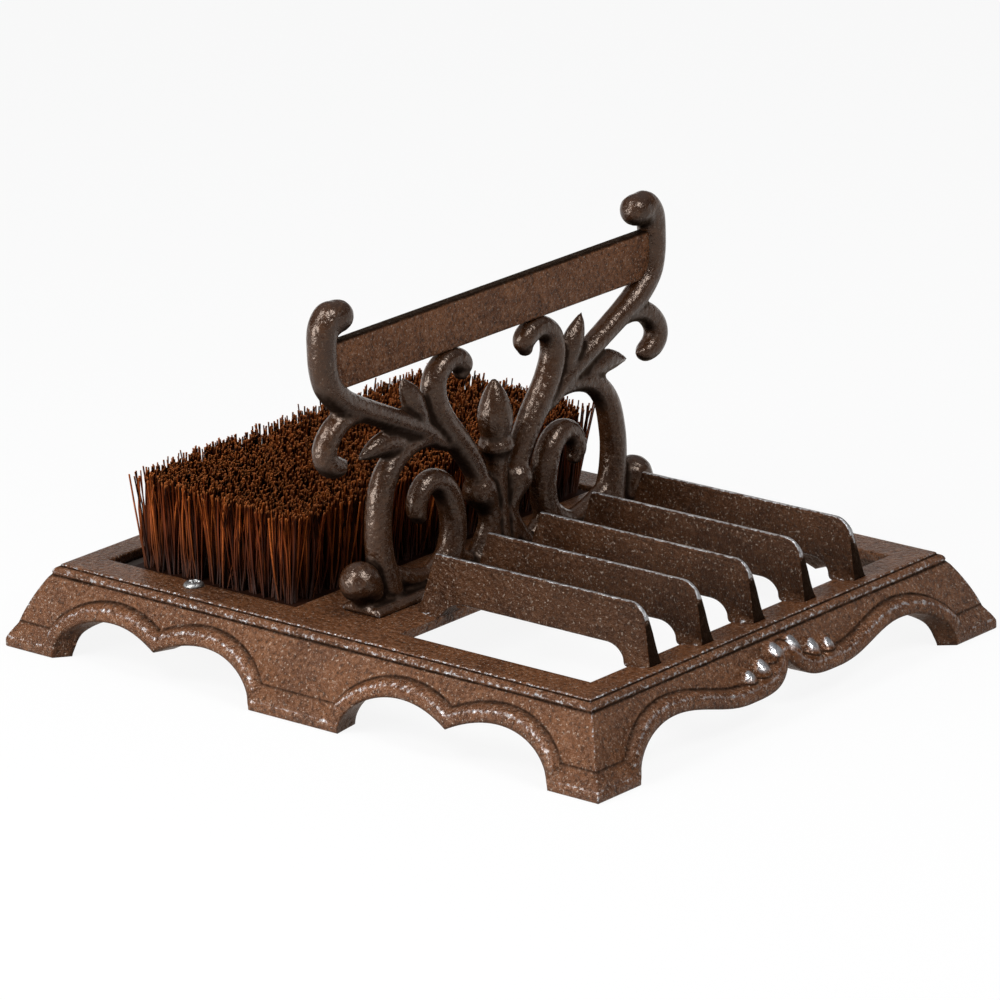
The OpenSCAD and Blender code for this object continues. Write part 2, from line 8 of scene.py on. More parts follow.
import bmesh
import bpy
import numpy as np
from mathutils import Matrix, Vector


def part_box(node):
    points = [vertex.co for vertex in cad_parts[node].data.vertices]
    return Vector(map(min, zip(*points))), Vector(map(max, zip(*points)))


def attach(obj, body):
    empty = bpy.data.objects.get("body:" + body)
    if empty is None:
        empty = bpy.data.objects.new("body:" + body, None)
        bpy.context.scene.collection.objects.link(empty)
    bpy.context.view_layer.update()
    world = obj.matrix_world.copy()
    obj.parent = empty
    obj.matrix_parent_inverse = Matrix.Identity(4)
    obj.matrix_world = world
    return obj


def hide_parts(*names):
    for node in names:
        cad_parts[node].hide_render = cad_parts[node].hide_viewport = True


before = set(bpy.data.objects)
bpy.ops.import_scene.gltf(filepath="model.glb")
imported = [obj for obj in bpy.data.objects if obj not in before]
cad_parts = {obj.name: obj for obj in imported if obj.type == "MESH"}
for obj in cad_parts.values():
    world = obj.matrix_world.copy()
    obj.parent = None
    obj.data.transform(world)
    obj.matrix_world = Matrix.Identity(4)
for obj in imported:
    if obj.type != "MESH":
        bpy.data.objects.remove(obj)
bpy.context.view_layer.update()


# Base frame. One sand casting in grey iron: a flat top with two openings and a cross bar, sloping
# skirts with a half-round lip along the scalloped lower edge, and six feet. The mould leaves a
# grainy skin, painted chocolate brown, and the paint is worn to bright metal along the arrises.
MM = 0.001


def node_box(node):
    """Lowest and highest corner of a CAD node, in millimetres."""
    return [np.array(corner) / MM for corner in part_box(node)]


base_low, base_high = node_box("base_frame")
foot_reach = 20.0
half_long = base_high[0] - foot_reach
half_short = base_high[1] - foot_reach
top_z = base_high[2]
plate_t = 5.0
ceiling_z = top_z - plate_t
long_strip, short_strip = 18.0, 15.0
cross_x0, cross_x1 = -30.0, 35.0
cross_tuck, cross_proud, cross_round = 12.0, 0.02, 0.6

skirt_start, skirt_slope, skirt_belly = 3.0, 0.68, 0.0072
skirt_wall, corner_thinner, middle_deeper = 8.5, 3.5, 6.5
thin_start, thin_run, deep_half = 25.0, 20.0, 36.0
mould_z, skirt_top_z, band_z = 36.0, 34.4, 4.0
lip_w, lip_h, lip_crest, lip_under = 8.0, 3.6, 0.7, 0.85
foot_lip_w, foot_lip_power, footing_fade, lip_step = 7.5, 1.3, 4.0, 0.4

middle_foot, corner_foot = 55.0, 30.0
arch_h, arch_run, cusp_h = 22.0, 34.0, 14.5
lobe_y, lobe_h, lobe_cusp_h = 33.0, 13.5, 24.5

# Moulding under the top edge, from the top down: (out, height, wear, painted shade)
moulding = np.array([(-0.35, 39.9, 0.6, 0.2), (0.05, 39.5, 0.72, 0.3), (0.15, 39.05, 0.3, 0.8),
                     (0.5, 38.75, 0.1, 0.8), (1.4, 38.5, 0.3, 0.1), (2.2, 38.0, 0.45, 0),
                     (2.85, 37.2, 0.5, 0), (3.15, 36.3, 0.72, 0.1), (2.95, 35.5, 0.4, 0.6),
                     (3.3, 35.0, 0.25, 0.9)])

# Leaf-like gadroons beside the cusp of a short side:
# (across, height, half length, half width, lean in degrees, relief)
gadroons = [(6.2, 27.6, 7.2, 5.0, 2, 5.0), (18.0, 23.6, 7.0, 4.8, 6, 4.8),
            (28.5, 22.4, 6.0, 4.4, 10, 4.4)]


def skirt_out(z):
    """How far the skirt stands out from the top edge at height z: straight, with a slight belly."""
    drop = mould_z - z
    return skirt_start + skirt_slope * drop - skirt_belly * drop ** 2


def foot_lip(rise):
    """Flange over a foot: full reach at its band, falling away to the skirt as it rises."""
    full = foot_reach - skirt_out(band_z)
    return full * (1 - np.clip(rise / foot_lip_w, 0, 1) ** foot_lip_power)


def corner_out(z):
    """Offset of the corner's mitre at height z: the skirt with its foot's flange and band."""
    return np.where(z < band_z, foot_reach, skirt_out(z) + foot_lip(z - band_z))


def bell(distance, width):
    """Bell curve of a distance: 1 at none, falling off over the width."""
    return np.exp(-(distance / width) ** 2)


def flank(start, count=22):
    """Quarter ellipse from the end of a foot up to the crown of its arch, as (along, height)."""
    turn = np.linspace(0, pi / 2, count)
    return np.stack([start + arch_run * (1 - np.cos(turn)), arch_h * np.sin(turn)], 1)


def level(start, end, count):
    """Level run of a foot's lower edge, as (along, height)."""
    along = np.linspace(start, end, count)
    return np.stack([along, 0 * along], 1)


def long_edge():
    """Half of a long side's lower edge.

    Level foot, flank, parabola down to the cusp, the same mirrored about the cusp, level foot."""
    foot0, foot1 = middle_foot / 2, half_long + foot_reach - corner_foot
    cusp, crown = (foot0 + foot1) / 2, foot0 + arch_run
    t = np.linspace(0, 1, 14)[1:]
    dip = np.stack([crown + (cusp - crown) * t, arch_h - (arch_h - cusp_h) * t ** 2], 1)
    arch = np.concatenate([flank(foot0), dip])
    back = arch[-2::-1] * [-1, 1] + [2 * cusp, 0]
    return np.concatenate([level(0, foot0, 24)[:-1], arch, back[:-1],
                           level(foot1, foot1 + corner_foot, 26)])


def short_edge():
    """Half of a short side's lower edge.

    Fourth-power curve from the cusp to the lobe, cosine wave to the crown, flank, level foot."""
    foot1 = half_short + foot_reach - corner_foot
    crown = foot1 - arch_run
    y = np.linspace(0, lobe_y, 30)[:-1]
    lobe = np.stack([y, lobe_h + (lobe_cusp_h - lobe_h) * (1 - y / lobe_y) ** 4], 1)
    t = np.linspace(0, 1, 30)[:-1]
    wave = np.stack([lobe_y + (crown - lobe_y) * t,
                     lobe_h + (arch_h - lobe_h) * (1 - np.cos(pi * t)) / 2], 1)
    down = flank(0)[::-1] * [-1, 1] + [foot1, 0]
    return np.concatenate([lobe, wave, down[:-1], level(foot1, foot1 + corner_foot, 26)])


def edge_distance(along, z, edge):
    """Distance of every point of a skirt from the lip's line, below it negative, and its height.

    The line is the lower edge, or the top of the band over a foot, cut into short steps."""
    line = np.stack([edge[:, 0], np.maximum(edge[:, 1], band_z)], 1)
    walked = np.concatenate([[0], np.cumsum(np.hypot(*np.diff(line, axis=0).T))])
    fine = np.arange(0, walked[-1], lip_step)
    line_a, line_z = np.interp(fine, walked, line[:, 0]), np.interp(fine, walked, line[:, 1])
    gap, near_z = np.empty_like(z), np.empty_like(z)
    for row in range(len(z)):
        d2 = (along[row][:, None] - line_a) ** 2 + (z[row][:, None] - line_z) ** 2
        near = d2.argmin(1)
        gap[row] = np.sqrt(d2[np.arange(len(near)), near])
        near_z[row] = line_z[near]
    over_line = z >= np.maximum(edge[:, 1], band_z)[:, None]
    return np.where(over_line, gap, -gap), near_z


def gadroon_relief(along, z):
    """Highest of the gadroons at each point, and how far up the gadroon the point is.

    They are half ellipsoids that lean out from the cusp."""
    relief, upper = np.zeros_like(z), np.zeros_like(z)
    for across, height, length, width, lean, rise in gadroons:
        du, dv = np.abs(along) - across, z - height
        c, s = cos(radians(lean)), sin(radians(lean))
        u, v = (du * c - dv * s) / width, (du * s + dv * c) / length
        here = rise * np.sqrt(np.clip(1 - u ** 2 - v ** 2, 0, None))
        upper = np.where(here > relief, np.clip(0.6 + 0.7 * v, 0, 1), upper)
        relief = np.maximum(relief, here)
    return relief, upper


def wall_depth(along, half, deeper):
    """Thickness of the skirt's wall along a side.

    A straight ramp thins it near the corners, and a flat-topped bell deepens it in the middle."""
    corner = np.clip((np.abs(along) - half + thin_start) / thin_run, 0, 1)
    return skirt_wall - corner_thinner * corner + deeper * np.exp(-(along / deep_half) ** 6)


def skirt_side(edge_half, half, out, strip, strip_beside, beads, deeper):
    """One side of the frame as a grid, stations along it by points round its section, with marks.

    The section runs from the opening over the top, down the moulding and the skirt, under the lower
    edge, up the inner face and back under the strip. Along the side every point is scaled so that
    it meets its neighbour on the mitre. The marks are wear, painted shade and polish.
    """
    edge = np.concatenate([edge_half[:0:-1] * [-1, 1], edge_half])
    low = edge[:, 1:]
    station = edge[:, :1] * (half + foot_reach) / (half + corner_out(low))

    def band(stand_out, z, corner, wear=0.0, painted_shade=0.0, polish=0.0):
        """One band of the section, with every value spread over its stations and points."""
        spread = np.broadcast_arrays(low, stand_out, z, corner, wear, painted_shade, polish)
        return np.stack(spread[1:])

    top_o = np.linspace(0.6, strip - 0.9, 8) - strip
    # The top is rubbed a little, with a touch of painted shade by its outer edge.
    top = band(top_o, top_z, strip_beside * top_o / strip, 0.05, [0, 0, 0, 0, 0, 0, 0, 0.25])
    mould_o, mould_h, mould_wear, mould_shade = moulding.T
    mould = band(mould_o, mould_h, mould_o, mould_wear, mould_shade)

    fall = np.linspace(0, 1, 37)[1:]
    skirt_z = skirt_top_z - (skirt_top_z - low - 0.5) * fall
    along = station * (half + corner_out(skirt_z)) / (half + foot_reach)
    gap, near_z = edge_distance(along, skirt_z, edge)
    footing = np.clip(1 - (near_z - band_z) / footing_fade, 0, 1)
    across = gap / lip_w - lip_crest
    from_crest = np.where(across > 0, across / (1 - lip_crest), across / lip_under)
    round_lip = lip_h * np.sqrt(np.clip(1 - from_crest ** 2, 0, None))
    lip = footing * foot_lip(gap) + (1 - footing) * round_lip
    no_leaf = np.zeros((2, *skirt_z.shape))
    leaf, leaf_upper = gadroon_relief(along, skirt_z) if beads else no_leaf
    skirt_o = np.where(gap < 0, foot_reach, skirt_out(skirt_z) + np.maximum(lip, leaf))
    crest = np.where(footing > 0.5, bell(gap - 1.0, 1.3), bell(across * lip_w, 2.0))
    leaf_wear = 0.95 * leaf_upper * np.clip((leaf - 1.2) / 1.5, 0, 1)
    # Painted shade: a dark line in the groove above the lip, and darker along the lower edge
    # between the feet.
    painted_shade = 0.75 * bell(gap - lip_w - 0.5, 0.9) + 0.55 * bell(gap, 2.2) * (1 - footing)
    polish = np.maximum(np.clip(leaf / 2, 0, 1), 0.6 * crest)
    skirt = band(skirt_o, skirt_z, corner_out(skirt_z), np.maximum(0.70 * crest, leaf_wear),
                 painted_shade, polish)

    depth = wall_depth(edge[:, :1], half, deeper)
    inner_low, outer_low, corner_low = skirt_out(low) - depth, skirt_o[:, -1:], corner_out(low)
    share = np.array([0.06, 0.3, 0.55, 0.8, 1.0])
    # Painted shade darkens the underside, the inner face and the ceiling inside the skirt, and a
    # little the strip's wall.
    under = band(outer_low + (inner_low - outer_low) * share, low,
                 corner_low + (inner_low - corner_low) * share, 0.0, 0.5)
    inner_z = low + (ceiling_z - low) * np.linspace(0, 1, 9)[1:]
    inner_o = skirt_out(inner_z) - depth
    inner = band(inner_o, inner_z, inner_o, 0.0, 0.6)
    in_edge = skirt_out(ceiling_z) - depth
    share = np.linspace(0, 1, 5)[1:]
    ceiling = band(in_edge + (-strip - in_edge) * share, ceiling_z,
                   in_edge + (-strip_beside - in_edge) * share, 0.0, 0.6)
    wall_up = np.array([0.3, 0.6, 0.9, 0.96]) * plate_t
    wall_in = np.array([0, 0, 0, 0.25])
    wall = band(-strip + wall_in, ceiling_z + wall_up, -strip_beside + wall_in,
                [0, 0, 0.2, 0.45], 0.2)

    bands = [top, mould, skirt, under, inner, ceiling, wall]
    o, z, corner, wear, painted_shade, polish = np.concatenate(bands, 2)
    a = station * (half + corner) / (half + foot_reach)
    outside = np.repeat([0, 1, 1, 0, 0, 0, 0], [b.shape[2] for b in bands])
    mitre = bell(half + foot_reach - np.abs(station), 1.8)
    wear = np.maximum(wear, 0.62 * mitre * outside)
    return np.stack([a, out + o, z], -1)[:-1], np.stack([wear, painted_shade, polish], -1)[:-1]


def grid_quads(rows, cols, wrap_rows=False, wrap_cols=False):
    """Quads of a grid of points numbered row by row.

    A wrapped direction joins its last line to its first."""
    r = np.arange(rows if wrap_rows else rows - 1)[:, None]
    c = np.arange(cols if wrap_cols else cols - 1)[None, :]
    r1, c1 = (r + 1) % rows, (c + 1) % cols
    return np.stack([r * cols + c, r * cols + c1, r1 * cols + c1, r1 * cols + c], -1).reshape(-1, 4)


def tube_faces(rows, cols, turned=False):
    """Faces of a closed tube of rings: quads between the rings, and one face on each end.

    Turned, they all look the other way."""
    quads = grid_quads(rows, cols, wrap_cols=True)
    first, last = list(range(cols)), list(range((rows - 1) * cols, rows * cols))
    if turned:
        return quads.tolist() + [first[::-1], last]
    return quads[:, ::-1].tolist() + [first, last[::-1]]


def shifted(faces, start):
    """Faces whose points are numbered from start instead of from 0."""
    return [[i + start for i in face] for face in faces]


def frame_ring():
    """The frame's four sides, turned into place and joined on their mitres into a closed ring."""
    long_side = skirt_side(long_edge(), half_long, half_short, long_strip, short_strip,
                           beads=False, deeper=middle_deeper)
    short_side = skirt_side(short_edge(), half_short, half_long, short_strip, long_strip,
                            beads=True, deeper=0.0)
    points, marks = [], []
    for turn, (grid, held) in enumerate([long_side, short_side, long_side, short_side]):
        along, out, z = np.moveaxis(grid, -1, 0)
        x, y = [(along, -out), (out, along), (-along, out), (-out, -along)][turn]
        points.append(np.stack([x, y, z], -1))
        marks.append(held)
    ring, marks = np.concatenate(points), np.concatenate(marks)
    quads = grid_quads(*ring.shape[:2], wrap_rows=True, wrap_cols=True)
    return ring.reshape(-1, 3), quads, marks.reshape(-1, 3)


def rounded_box(low, high, radius, steps=3, stations=1):
    """Closed box with rounded edges: a rounded rectangle in X and Z swept along Y.

    The rectangle's corners are quarter circles, and at both ends of the sweep they shrink along a
    quarter circle of the same radius."""
    turn = np.linspace(0, pi / 2, steps + 1)
    left, right = low[0] + radius, high[0] - radius
    bottom, top = low[2] + radius, high[2] - radius
    around = np.concatenate([turn + quarter * pi / 2 for quarter in range(4)])
    centre_x = np.repeat([right, left, left, right], steps + 1)
    centre_z = np.repeat([top, top, bottom, bottom], steps + 1)
    y = np.concatenate([low[1] + radius * (1 - np.sin(turn))[::-1],
                        np.linspace(low[1] + radius, high[1] - radius, stations + 2)[1:-1],
                        high[1] - radius * (1 - np.sin(turn))])
    grow = np.concatenate([radius * np.cos(turn)[::-1], np.full(stations, radius),
                           radius * np.cos(turn)])[:, None]
    ring = np.stack([centre_x + grow * np.cos(around), y[:, None] + 0 * around,
                     centre_z + grow * np.sin(around)], -1)
    return ring.reshape(-1, 3), tube_faces(*ring.shape[:2])


def piece(name, points, faces, material, marks=None):
    """Smooth-shaded object with its place in its mesh.

    It takes points in millimetres, a list of faces, and marks held per point."""
    mesh = bpy.data.meshes.new(name)
    mesh.from_pydata((np.asarray(points) * MM).tolist(), [], faces)
    mesh.shade_smooth()
    for mark, values in (marks or {}).items():
        held = mesh.attributes.new(mark, "FLOAT", "POINT")
        held.data.foreach_set("value", np.asarray(values, np.float32))
    mesh.materials.append(material)
    made = bpy.data.objects.new(name, mesh)
    bpy.context.scene.collection.objects.link(made)
    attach(made, "root")
    return made


def outwards(made):
    """Turns the faces of a closed piece outwards."""
    form = bmesh.new()
    form.from_mesh(made.data)
    bmesh.ops.recalc_face_normals(form, faces=form.faces)
    form.to_mesh(made.data)
    form.free()


class Nodes:
    """Short way to write a material's nodes: each call adds a node and gives a socket to link."""

    def __init__(self, name):
        self.material = bpy.data.materials.new(name)
        self.material.use_nodes = True
        self.tree = self.material.node_tree
        self.shader = self.tree.nodes["Principled BSDF"]

    def add(self, kind, inputs=None, **properties):
        """New node of a kind, with its inputs, linked or constant, and its properties."""
        node = self.tree.nodes.new(kind)
        for key, value in properties.items():
            setattr(node, key, value)
        for key, value in (inputs or {}).items():
            self.set(node, key, value)
        return node

    def set(self, node, key, value):
        """Links a socket to a node's input, or sets a constant on it."""
        if isinstance(value, bpy.types.NodeSocket):
            self.tree.links.new(value, node.inputs[key])
        else:
            node.inputs[key].default_value = value

    def noise(self, scale, detail=3.0, rough=0.55):
        """Noise on Object coordinates; scale is in waves per metre."""
        where = self.add("ShaderNodeTexCoord").outputs["Object"]
        return self.add("ShaderNodeTexNoise", {"Vector": where, "Scale": scale, "Detail": detail,
                                               "Roughness": rough}).outputs["Fac"]

    def ramp(self, value, low, high):
        """Smooth step of a value from 0 at low to 1 at high."""
        return self.add("ShaderNodeMapRange", {"Value": value, "From Min": low, "From Max": high},
                        interpolation_type="SMOOTHSTEP").outputs["Result"]

    def math(self, operation, a, b, c=0.0):
        """Sum, product or other operation on two or three values."""
        return self.add("ShaderNodeMath", {0: a, 1: b, 2: c}, operation=operation).outputs[0]

    def veil(self, value, low, high, most):
        """Smooth step of a value from 0 at low to most at high."""
        return self.math("MULTIPLY", self.ramp(value, low, high), most)

    def mix(self, factor, a, b):
        """Colour between a and b by a factor."""
        node = self.add("ShaderNodeMix", {"Factor": factor}, data_type="RGBA")
        for key, value in ((6, a), (7, b)):
            linked = isinstance(value, bpy.types.NodeSocket)
            self.set(node, key, value if linked else (*value, 1.0))
        return node.outputs[2]

    def mark(self, name):
        """A mark that the mesh holds per point."""
        return self.add("ShaderNodeAttribute", attribute_name=name).outputs["Fac"]

    def finish(self, **sockets):
        """The material, with the shader's sockets linked or set."""
        for key, value in sockets.items():
            self.set(self.shader, key.replace("_", " "), value)
        return self.material


def painted_iron(name, grain, dents, shade, shine):
    """Brown paint on sand-cast iron: cloudy browns on a grainy skin with dents.

    Painted shade darkens its pits and a painted highlight makes its peaks paler, with small painted
    glints. Painted shade blackens hollows, undersides and other shaded places where the shade mark
    is high, and edges are worn to bare iron. Grain and dents scale the two reliefs, shade makes the
    browns lighter or darker for each part as painted light and shade, and shine sets the reflection
    of the paint. Where the polish mark is high the skin is rubbed smooth."""
    n = Nodes(name)
    deep, light, pale, peak_highlight = shade * np.array([(0.044, 0.015, 0.005), (0.070, 0.0255, 0.009),
                                                (0.108, 0.046, 0.020), (0.140, 0.082, 0.054)])
    pit_shade, painted_glint = (0.013, 0.005, 0.0022), (0.34, 0.28, 0.23)
    black, bare_iron = (0.009, 0.004, 0.002), (0.36, 0.36, 0.37)
    cloud = n.noise(40, 4)
    dent = n.noise(300, 2)
    sand = n.noise(480, 3, 0.62)
    fine = n.noise(1700, 2, 0.5)
    polish = n.mark("polish")
    uneven = n.math("MULTIPLY_ADD", polish, -0.8, 1.0)
    brown = n.mix(n.ramp(cloud, 0.32, 0.68), deep, light)
    brown = n.mix(n.veil(dent, 0.45, 0.75, 0.6), brown, pale)
    # Painted shade in the low spots of the sand relief, a painted highlight on its high spots, and
    # painted glints in small specks.
    brown = n.mix(n.veil(sand, 0.48, 0.33, min(0.25 * grain, 0.7)), brown, pit_shade)
    brown = n.mix(n.veil(sand, 0.54, 0.70, min(0.15 * grain, 0.5)), brown, peak_highlight)
    brown = n.mix(n.veil(n.noise(900, 1), 0.62, 0.74, min(0.18 * grain, 0.55)), brown, painted_glint)
    # Painted shade: where the shade mark is high the paint turns black and metallic, so it reflects
    # almost nothing.
    painted_shade = n.math("MULTIPLY", n.mark("painted_shade"), n.math("ADD", 0.6, dent))
    painted_dark = n.ramp(painted_shade, 0.2, 1.0)
    brown = n.mix(painted_dark, brown, black)
    patchy = n.math("MULTIPLY_ADD", n.math("SUBTRACT", sand, 0.5), 1.6,
                    n.math("MULTIPLY_ADD", dent, 0.8, -0.4))
    rubbed = n.math("MULTIPLY_ADD", patchy, uneven, n.mark("wear"))
    bare = n.ramp(rubbed, 0.60, 0.95)
    colour = n.mix(bare, brown, bare_iron)
    gloss = n.math("MULTIPLY_ADD", painted_dark, 0.35, n.math("MULTIPLY_ADD", fine, 0.20, 0.20))
    gloss = n.math("MULTIPLY_ADD", polish, -0.10, gloss)
    height = n.math("ADD", n.math("MULTIPLY", sand, grain), n.math("MULTIPLY", fine, 0.16 * grain))
    height = n.math("MULTIPLY_ADD", dent, 1.2 * dents, n.math("MULTIPLY", height, uneven))
    bump = n.add("ShaderNodeBump", {"Height": height, "Strength": 1.0, "Distance": 0.0005})
    metal = n.math("MAXIMUM", n.math("MULTIPLY_ADD", bare, 0.75, 0.15),
                   n.math("MULTIPLY", painted_dark, 0.9))
    return n.finish(Base_Color=colour, Metallic=metal, Roughness=gloss,
                    Normal=bump.outputs["Normal"], Specular_IOR_Level=shine,
                    Specular_Tint=(1.0, 0.85, 0.73, 1.0))


ring_points, ring_quads, ring_marks = frame_ring()
cross_points, cross_faces = rounded_box(
    (cross_x0, -half_short + cross_tuck, ceiling_z),
    (cross_x1, half_short - cross_tuck, top_z + cross_proud), cross_round, stations=60)
# The cross bar: a little wear, and a little painted shade.
cross_marks = np.full((len(cross_points), 3), (0.05, 0.1, 0.0))
base_marks = np.concatenate([ring_marks, cross_marks])
# Painted light: shade 1.28 makes the frame's copy of the brown paint lighter than the blades' and
# scroll's.
base = piece("base_casting", np.concatenate([ring_points, cross_points]),
             ring_quads.tolist() + shifted(cross_faces, len(ring_points)),
             painted_iron("brown_iron_frame", grain=3.4, dents=1.0, shade=1.28, shine=0.25),
             dict(zip(("wear", "painted_shade", "polish"), base_marks.T)))
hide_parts("base_frame")


# Scraper blades. Five iron plates of wedge section that bridge the blade opening on small feet,
# with a leaning end by the scroll and a rounded outer corner. Boots have rubbed their top edges
# bright.
blade_count = 5
blade_lean, blade_end_lean, blade_corner = 9.0, 6.0, 7.5
blade_foot, inner_toe, outer_toe, blade_gap = 15.0, 11.0, 11.0, 7.2
blade_top_t, blade_foot_t, blade_taper = 2.0, 8.6, 0.85
blade_middle, blade_sink = 90.0, 0.2
fillet_w, fillet_h = 4.8, 2.0
toe_reach = 5.5
strip_edge = half_long - short_strip
open_end = strip_edge - toe_reach


def soften(distance, radius, least):
    """Share of the full thickness at a distance from an edge that is rounded by a circle.

    At the edge itself, least is left."""
    return np.sqrt(1 - (1 - least) ** 2 * (1 - np.clip(distance / radius, 0, 1)) ** 2)


def blade_surface(low, high):
    """One blade as rings across its thickness, carried along it, with wear and painted shade marks.

    Each station has a lower edge (level on the feet, quarter ellipses up to the free middle) and an
    upper edge (level, with a quarter circle at the outer corner). Both ends lean inwards as they
    rise. The outer toe reaches past the strip into the opening. The half thickness is the wedge's,
    softened towards the outline and swept out in a fillet at the feet, which fades past the strip.
    """
    x0, x1, height = low[0], high[0], high[2] - low[2]
    turn = np.linspace(0, pi / 2, 11)
    toe0, toe1 = x0 + blade_foot, open_end - outer_toe
    x = np.concatenate([
        x0 + np.array([0, 0.25, 0.6, 1.2, 2.5]), np.linspace(x0 + 4, toe0, 8),
        toe0 + inner_toe * (1 - np.cos(turn[1:])),
        np.linspace(toe0 + inner_toe, toe1, 30)[1:-1], toe1 + outer_toe * np.sin(turn),
        x1 - (x1 - open_end) * (1 - np.linspace(0.1, 0.9, 10)), x1 - np.array([0.6, 0.25, 0])])
    left = np.clip((x - toe0) / inner_toe, 0, 1)
    right = np.clip((open_end - x) / outer_toe, 0, 1)
    under = (blade_gap * np.sqrt(1 - (1 - np.minimum(left, right)) ** 2))[:, None]
    share = (x - x0) / (x1 - x0)
    from_end = (1 - share) * (x1 - x0 - blade_lean - blade_end_lean)
    drop = 1 - np.sqrt(1 - np.clip(1 - from_end / blade_corner, 0, 1) ** 2)
    upper = (height - blade_corner * drop)[:, None]

    from_low = np.array([0, 0.4, 0.9, 1.6, 2.6, 4.0])
    from_top = np.array([3.2, 2.2, 1.6, 1.1, 0.6, 0.25, 0])
    middle = np.linspace(0, 1, 11)[1:-1]
    span = upper - under - from_low[-1] - from_top[0]
    z = np.concatenate([under + from_low, under + from_low[-1] + span * middle,
                        upper - from_top], 1)
    start, stop = x0 + blade_lean * z / height, x1 - blade_end_lean * z / height
    xs = start + share[:, None] * (stop - start)
    to_low, to_top = z - under, upper - z
    on_foot = (under < 0.3) * 1.0
    edge = soften(to_top, 0.9, 0.25) * soften(stop - xs, 0.5, 0.6) * soften(xs - start, 0.5, 0.6)
    edge = edge * np.maximum(on_foot, soften(to_low, 0.7, 0.4))
    half = (blade_foot_t + (blade_top_t - blade_foot_t) * (z / height) ** blade_taper) / 2 * edge
    outer = (np.clip((x1 - x) / (x1 - strip_edge), 0, 1)
             * np.clip((x - open_end - 1) / (strip_edge - open_end), 0, 1))
    inner = np.clip((x - x0) / blade_foot, 0, 1)
    beside = np.where(x < blade_middle, inner, outer)[:, None]
    fillet = (fillet_w * np.sqrt(beside) * on_foot
              * np.clip(1 - to_low / (fillet_h + fillet_h * beside), 0, 1) ** 2)
    half = half + fillet
    y = (low[1] + high[1]) / 2
    lump = 0.12 * np.sin(xs * 0.31 + y) * np.sin(z * 0.43 + 0.11 * xs) * edge
    front = np.stack([xs, y - half + lump, z + low[2] - blade_sink], -1)
    back = np.stack([xs, y + half + lump, z + low[2] - blade_sink], -1)
    ring = np.concatenate([front, back[:, ::-1]], 1)

    end_wear = 0.6 * bell(stop - xs, 0.5) * np.clip(3 * z / height - 2, 0, 1)
    foot_wear = 0.55 * np.clip(fillet - 0.6, 0, 1)
    wear = np.maximum.reduce([0.9 * bell(to_top, 0.45), end_wear, foot_wear,
                              0.5 * bell(xs - start, 0.6)])
    # Painted shade: darker along the lower edge of the free middle, black on the leaning end face,
    # and a dark line under the top edge.
    painted_shade = (0.3 * bell(to_low, 2.5) * (1 - on_foot)
               + 0.9 * (stop - xs < 0.1) * (to_top > 1.5))
    painted_shade = np.maximum(painted_shade, 0.5 * bell(to_top - 1.7, 0.7))
    marks = [np.concatenate([m, m[:, ::-1]], 1).ravel() for m in (wear, painted_shade)]
    return ring.reshape(-1, 3), tube_faces(*ring.shape[:2]), marks


# Painted shade: shade 0.56 makes the blades' copy of the brown paint darker than the frame's.
blade_skin = painted_iron("brown_iron_blades", grain=2.4, dents=0.6, shade=0.56, shine=0.12)
for number in range(1, blade_count + 1):
    node = f"scraper_blade_{number}"
    points, faces, (blade_wear, blade_shade) = blade_surface(*node_box(node))
    blade = piece(f"blade_{number}", points, faces, blade_skin,
                  {"wear": blade_wear, "painted_shade": blade_shade})
    outwards(blade)
    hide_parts(f"scraper_blade_{number}")


# Scroll upright. One casting, the same on both faces: round stems that branch into horns, hooks,
# leaves and curls, a flat scraping bar between the horns, and a foot plate. The stems run into each
# other with soft fillets, as the sand of a mould makes them.
scroll_low, scroll_high = node_box("scroll_upright")
scroll_x = (scroll_low[0] + scroll_high[0]) / 2
seat_z = scroll_low[2]
scroll_stretch = 1.02
stem_sides, stem_steps = 20, 5
leaf_depth, leaf_ridge = 0.75, 1.6
bar_t, bar_z0, bar_z1, bar_half, bar_round = 7.0, 112.0, 135.5, 113.0, 1.6
plate_half, plate_long, plate_high = 12.0, 100.0, 4.0
plate_edge, plate_bevel = 1.6, 2.4

# Middle lines of the stems of one half, as points of (across, up, radius)
horn_line = [(107, 147.6, 6.5), (111, 147.5, 7.2), (115, 142, 7.2), (116, 132, 6.9),
             (115.5, 123, 6.8), (112.5, 114, 6.8), (104.5, 105.5, 6.6), (95, 100, 6.1),
             (85, 95, 5.8), (64, 84.5, 5.5), (50, 77, 5.1), (40, 69.5, 4.5), (29, 63, 2.5)]
trunk_line = [(22.5, 98.5, 4.0), (22, 102, 5.6), (25.5, 105.5, 5.8), (33, 106.5, 5.8),
              (40.5, 101, 6.0), (42, 91, 6.3), (37.5, 80, 6.5), (31.5, 71.5, 6.6),
              (26, 64.5, 6.6), (19.5, 55.5, 6.2), (14.5, 46, 5.6), (10.5, 35, 5.0),
              (7, 22, 5.0), (5, 3, 6.0)]
curl_line = [(90, 95.5, 4.0), (100, 97, 5.0), (109, 94.5, 5.6), (115.5, 88, 5.9),
             (117, 81.5, 5.9), (114, 77, 5.8), (110, 75.2, 5.4), (106.8, 75, 4.5),
             (104.8, 75.4, 2.5)]
upper_leaf = [(46, 74, 3.0), (52, 84, 5.8), (57, 94, 6.6), (61, 101, 4.0), (63, 106, 0.6)]
lower_leaf = [(52, 71.5, 3.4), (66, 75.5, 5.6), (78, 77.5, 6.4), (87, 76.5, 4.4), (95, 74.5, 0.6)]
arm_line = [(30, 64.5, 2.2), (43, 71.5, 4.2), (55, 73, 4.8), (66.5, 70.5, 5.5), (74.5, 65, 6.0),
            (80, 56.5, 6.3), (82.5, 46, 6.5), (83.5, 35, 6.6), (82.5, 23, 6.8), (80, 12, 7.3),
            (78.5, 3, 8.0)]
